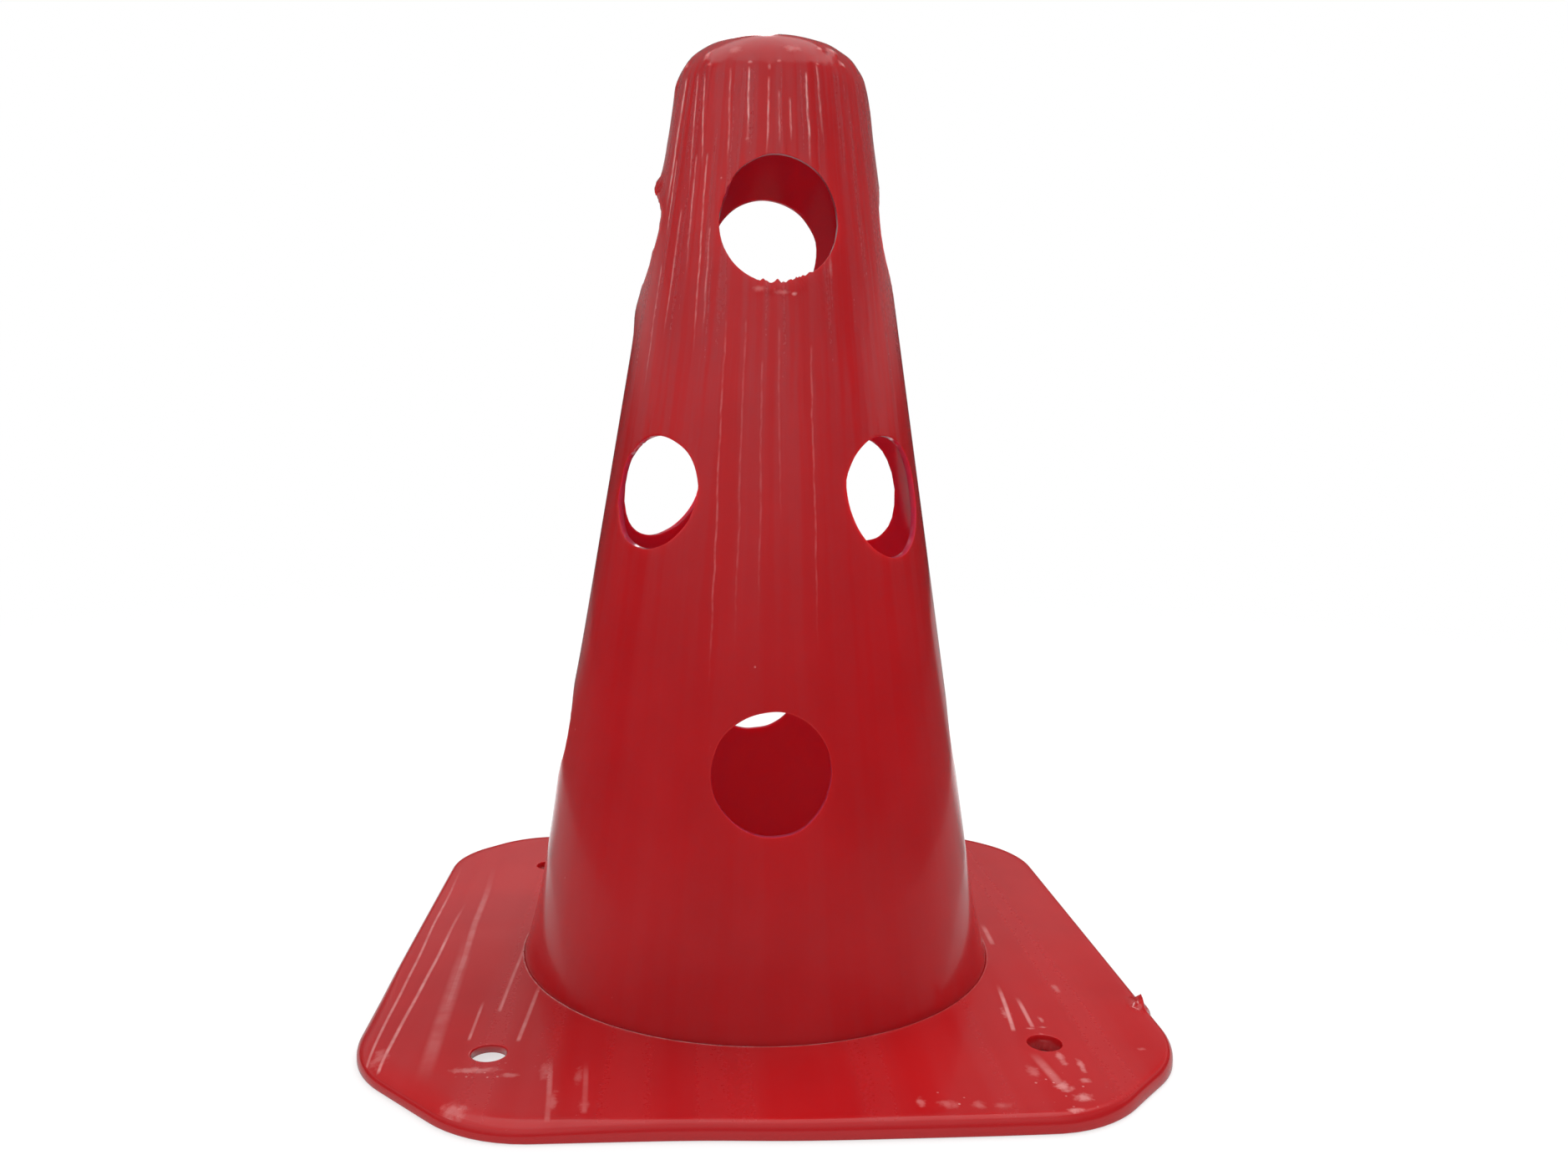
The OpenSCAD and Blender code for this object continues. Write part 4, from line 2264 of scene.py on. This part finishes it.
def plate_painted_glints() -> tuple[PaintedGlint, ...]:
    """The painted glints on the front of the plate."""
    marks = (
        (-81.5, -88.8, 7.0, 1.7, 0.42),
        (-71.5, -92.0, 2.4, 1.5, 0.30),
        (-84.0, -109.5, 4.6, 4.4, 0.34),
        (-108.5, -80.5, 2.6, 5.0, 0.26),
        (-62.3, -90.0, 1.6, 5.0, 0.22),
        (-53.0, -93.0, 1.2, 5.0, 0.18),
        (-58.8, -106.0, 1.5, 6.0, 0.24),
        (-50.5, -108.0, 1.4, 4.0, 0.20),
        (81.0, -88.0, 1.2, 5.0, 0.45),
        (77.0, -104.0, 2.4, 3.0, 0.60),
        (80.5, -110.0, 2.6, 2.4, 0.55),
        (76.5, -116.0, 2.2, 1.2, 0.60),
        (84.0, -101.0, 1.6, 1.6, 0.40),
        (71.0, -96.0, 2.0, 4.0, 0.25),
        (37.0, -110.5, 1.3, 2.8, 0.34),
        (44.0, -112.0, 2.6, 2.2, 0.26),
        (52.0, -112.5, 2.0, 2.4, 0.24),
        (58.0, -113.0, 2.4, 1.6, 0.24),
        (79.5, -76.0, 1.0, 3.2, 0.35),
        (-51.0, -58.5, 1.8, 1.8, 0.45),
        (82.0, -65.0, 0.8, 2.6, 0.45),
        (77.3, -70.0, 1.6, 0.8, 0.50),
        (81.5, -69.5, 1.4, 0.7, 0.45),
        (93.0, -43.0, 1.2, 4.0, 0.30),
        (106.0, -84.0, 1.6, 1.0, 0.35),
        (72.5, -60.0, 1.4, 4.0, 0.35),
        (85.5, -93.0, 1.0, 4.0, 0.50),
    )
    return tuple(
        PaintedGlint((x * MM, y * MM, 5 * MM), (wide * MM, deep * MM, 3 * MM), strength)
        for x, y, wide, deep, strength in marks
    )


def cone_lumps() -> tuple[Lump, ...]:
    """The beads and lumps round the crown, where the flow began."""
    return (
        Lump(-42.5, 288.8, 0.9, 1.2, 0.25),
        Lump(-15.6, 288.0, 0.9, 1.1, 0.25),
        Lump(-4.7, 286.4, 0.8, 1.6, 0.20),
        Lump(0.8, 288.3, 0.8, 1.0, 0.20),
        Lump(23.7, 288.8, 0.8, 1.1, 0.22),
        Lump(-69.7, 291.2, 1.6, 2.2, 0.60),
        Lump(-78.0, 286.5, 1.4, 2.6, 0.45),
        Lump(-47.6, 292.0, 1.3, 1.8, 0.45),
        Lump(29.6, 294.4, 1.3, 1.3, 0.35),
        Lump(43.3, 294.9, 1.6, 1.3, 0.45),
        Lump(45.1, 290.6, 1.0, 1.2, 0.40),
        Lump(62.0, 292.0, 1.4, 1.8, 0.40),
        Lump(-87.0, 287.5, 3.0, 3.0, 0.30),
        Lump(-84.0, 292.0, 4.5, 3.0, 0.35),
        Lump(-76.0, 295.2, 5.0, 2.6, 0.60),
        Lump(-60.0, 298.0, 6.0, 2.6, 0.45),
        Lump(-15.0, 299.5, 9.0, 3.0, 0.40),
        Lump(24.0, 299.5, 8.0, 3.0, 0.45),
        Lump(52.0, 298.0, 5.0, 2.6, 0.60),
        Lump(68.0, 295.2, 4.5, 2.6, 0.75),
        Lump(77.0, 291.0, 4.5, 3.4, 0.60),
        Lump(86.0, 281.0, 5.0, 6.0, 0.35),
        Lump(-93.0, 268.0, 8.0, 15.0, -0.75),
        Lump(-93.0, 217.0, 7.0, 6.0, 1.00),
        Lump(-82.0, 254.0, 4.0, 4.5, 1.10),
        Lump(-80.0, 76.0, 10.0, 22.0, 1.10),
        Lump(-26.7, 292.4, 2.4, 2.0, 0.18),
        Lump(9.1, 293.1, 2.6, 2.0, 0.18),
        Lump(-14.9, 265.0, 0.8, 1.0, 0.22),
        Lump(7.1, 219.5, 1.0, 1.0, 0.30),
        Lump(-7.0, 220.6, 2.0, 0.9, 0.20),
        Lump(2.0, 219.8, 1.6, 0.9, 0.25),
        Lump(24.0, 227.5, 1.0, 4.0, 0.15),
    )


def cone_streaks_and_glints() -> tuple[StreakAndGlint, ...]:
    """The pale lines down the front of the cone: whitened drag marks with painted glints."""
    return (
        StreakAndGlint((-62.0, 244), (-61.5, 287), 1.0, 0.9),
        StreakAndGlint((-57.5, 236), (-59.0, 262), 0.8),
        StreakAndGlint((-38.3, 256), (-44.1, 286), 0.75),
        StreakAndGlint((-45.3, 250), (-49.7, 287), 0.6),
        StreakAndGlint((-41.0, 225), (-43.0, 262), 0.5),
        StreakAndGlint((-33.0, 200), (-36.2, 262), 0.55),
        StreakAndGlint((-29.5, 206), (-31.0, 240), 0.4),
        StreakAndGlint((-24.1, 255), (-26.8, 287), 0.5),
        StreakAndGlint((-14.9, 262), (-15.9, 287), 0.9),
        StreakAndGlint((-5.1, 259), (-4.6, 284), 0.65),
        StreakAndGlint((1.0, 262), (0.8, 280), 0.35),
        StreakAndGlint((6.9, 264), (6.7, 278), 0.55),
        StreakAndGlint((16.5, 257), (16.1, 286), 0.95),
        StreakAndGlint((24.0, 266), (23.1, 289), 0.45),
        StreakAndGlint((-49.5, 205), (-48.8, 246), 0.5),
        StreakAndGlint((-57.6, 190), (-58.5, 230), 0.45),
        StreakAndGlint((-17.8, 100), (-19.9, 212), 0.22),
        StreakAndGlint((-11.3, 112), (-11.9, 212), 0.13),
        StreakAndGlint((13.0, 112), (13.6, 205), 0.17),
        StreakAndGlint((2.0, 150), (1.0, 210), 0.12),
        StreakAndGlint((-4.5, 120), (-5.0, 200), 0.12),
    )


def cone_plastic() -> MouldedPlastic:
    """The cone body's plastic."""
    return MouldedPlastic(
        name="cone_red",
        flow=Flow.DOWN_THE_CONE,
        colour=(0.43, 0.0075, 0.0110),
        deep=(0.39, 0.0060, 0.0092),
        pale=(0.32, 0.050, 0.060),
        inside=(0.45, 0.034, 0.078),
        bands=0.42,
        lines=(
            DragLinesAndGlints(7.0, width=0.00042, strength=0.42, start=0.287, length=0.11, seed=3.0),
            DragLinesAndGlints(14.0, width=0.00035, strength=0.16, start=0.280, length=0.20, seed=11.0),
        ),
        streaks=cone_streaks_and_glints(),
        plain_from=-68.0,
        plain_to=66.0,
        painted_glints=cone_painted_glints(),
        patches=(Patch((-0.0156, -0.0334, 0.2530), 0.005), Patch((0.004, -0.0395, 0.2200), 0.006)),
        glow=0.85,
        glow_reach=0.010,
    )


def plate_plastic() -> MouldedPlastic:
    """The base plate's plastic."""
    return MouldedPlastic(
        name="plate_red",
        flow=Flow.ALONG_THE_PLATE,
        colour=(0.47, 0.0080, 0.0100),
        deep=(0.43, 0.0065, 0.0090),
        pale=(0.50, 0.045, 0.055),
        inside=(0.42, 0.0080, 0.0110),
        bands=0.14,
        lines=(
            DragLinesAndGlints(60.0, width=0.0006, strength=0.45, start=0.10, length=0.16, seed=2.0),
        ),
        streaks=(
            StreakAndGlint((-105.3, -40), (-107.2, 88), 0.75, 0.7),
            StreakAndGlint((-100.6, -80), (-95.2, 70), 0.34, 1.5, 30.0),
            StreakAndGlint((-98.8, -10), (-93.9, 98), 0.22, 2.9, 26.0),
            StreakAndGlint((-113.4, -80), (-111.3, 84), 0.55, 0.6),
            StreakAndGlint((-78.3, -8), (-79.9, 54), 0.5, 0.7),
            StreakAndGlint((-85.6, 45), (-85.8, 72), 0.6, 0.6),
            StreakAndGlint((-69.6, 30), (-72.0, 73), 0.5, 0.8),
            StreakAndGlint((-62.0, 80), (-58.9, 116), 0.30, 1.0),
            StreakAndGlint((-52.0, 84), (-50.0, 113), 0.25, 1.0),
            StreakAndGlint((82.0, -12), (81.5, 8), 0.45, 1.2),
            StreakAndGlint((75.1, 38), (71.9, 72), 0.75, 0.9),
            StreakAndGlint((78.6, 48), (78.2, 70), 0.6, 0.9),
            StreakAndGlint((74.0, 84), (76.5, 104), 0.35, 2.0),
        ),
        plain_from=-118.0,
        plain_to=118.0,
        patches=(
            Patch((0.0775, -0.104, 0.005), 0.016),
            Patch((-0.0785, -0.090, 0.005), 0.009),
            Patch((0.045, -0.110, 0.005), 0.008),
        ),
        painted_glints=plate_painted_glints(),
        painted_sparkle=0.7,
        # A painted highlight ring along the bead at the cone's foot.
        seam=0.0789,
        glow=0.35,
    )


def hole_trims() -> dict[str, Trim]:
    """How far each pole hole is off its round. Holes are counted from the front to the right."""
    return {
        "top_0": Trim(0.9, 1.9, -0.8, 1.1),
        "top_2": Trim(-0.3, 1.2, 1.3, 0.8),
        "middle_0": Trim(0.9, 0.0, -0.6, 1.3),
        "middle_1": Trim(0.5, 0.5, 3.6, 2.0),
        "middle_2": Trim(3.9, 0.5, 0.3, 0.7),
        "low_2": Trim(-0.6, 0.0, -0.6, -2.1),
        "low_3": Trim(-1.5, 0.0, 0.0, 0.0),
        "middle_3": Trim(-1.2, -1.3, 1.0, -0.2),
        "top_3": Trim(-1.6, 0.0, -1.6, -0.6),
        "top_1": Trim(-0.6, 0.0, -0.6, 0.0),
        "low_0": Trim(-0.3, 0.2, 0.1, 0.0),
    }


def hole_burrs() -> tuple[Burr, ...]:
    """The burrs that hand trimming left. Angles run anticlockwise from a hole's right side."""
    return (
        Burr("top_0", -80, 26, 0.35, 0.55, 0.35, 1.6),
        Burr("top_0", 155, 14, 0.10, 0.45, 0.30, 1.2),
        Burr("middle_3", 150, 30, 0.25, 0.7),
        Burr("middle_3", 205, 22, 0.15, 0.5, 0.2),
        Burr("top_3", 55, 32, 3.0, 0.5, 1.1, 1.6),
        Burr("top_3", -15, 38, 1.6, 0.4, 0.3, 1.6),
        Burr("top_1", 180, 60, 1.0, 0.3),
        Burr("low_3", 0, 50, 0.5, 0.2),
    )


def studio() -> Studio:
    """The studio that the photograph's light is matched with."""
    return Studio(
        lamps=(
            SoftLamp("key", (-0.5, -1.2, 0.9), 1.0, 5.2),
            SoftLamp("overhead", (0.45, 0.55, 1.5), 1.4, 16.5),
        ),
        cards=(
            ReflectionCard(
                "front_card",
                -85,
                85,
                1.6,
                ((-0.05, 0.08), (0.30, 0.12), (0.60, 0.30), (1.0, 0.50), (1.8, 0.5), (2.6, 0.4)),
                ((-85.0, 1.0), (20.0, 1.0), (50.0, 0.4), (85.0, 0.3)),
            ),
            ReflectionCard(
                "rear_card",
                85,
                275,
                2.0,
                ((0.0, 0.04), (0.45, 0.05), (0.62, 0.34), (0.74, 0.38), (0.90, 0.18), (2.6, 0.2)),
                ((-180.0, 1.0), (100.0, 1.0), (130.0, 0.75), (168.0, 0.8), (180.0, 1.0)),
            ),
            ReflectionCard("crown_card", 176, 181, 1.9, ((0.85, 4.0), (2.60, 4.0))),
            LevelCard(
                "skirt_floor",
                0.118,
                0.175,
                0.0003,
                ((-180, 1.2), (-140, 1.1), (-115, 0.5), (115, 0.5), (140, 1.1), (180, 1.2)),
            ),
            LevelCard(
                "near_floor",
                0.175,
                0.40,
                0.0003,
                ((-180, 1.2), (-148, 1.1), (-128, 0.30), (-80, 0.26), (-55, 0.20))
                + ((55, 0.20), (80, 0.26), (128, 0.28), (148, 1.1), (180, 1.2)),
            ),
            LevelCard(
                "far_floor",
                0.40,
                2.0,
                0.0003,
                ((-180, 0.35), (-170, 0.25), (-165, 0.16), (-148, 0.16), (-137, 0.08))
                + ((-80, 0.08), (-60, 0.20), (60, 0.20), (80, 0.08), (137, 0.08))
                + ((143, 0.40), (152, 0.40), (160, 0.30), (168, 0.20), (180, 0.35)),
            ),
            LevelCard("ceiling", 0.01, 2.1, 2.62, ((-180, 0.95), (180, 0.95))),
        ),
    )


def main() -> None:
    """Builds the camera, the studio and the two mouldings, and reports each piece."""
    logging.basicConfig(level=logging.INFO, format="%(message)s")
    PhotoCamera().set_up()
    studio().set_up()
    marks = FlowMarks(lumps=cone_lumps())
    ConeBody(cone_plastic(), marks=marks, trims=hole_trims(), burrs=hole_burrs()).make()
    BasePlate(plate_plastic()).make()


if __name__ == "__main__":
    main()
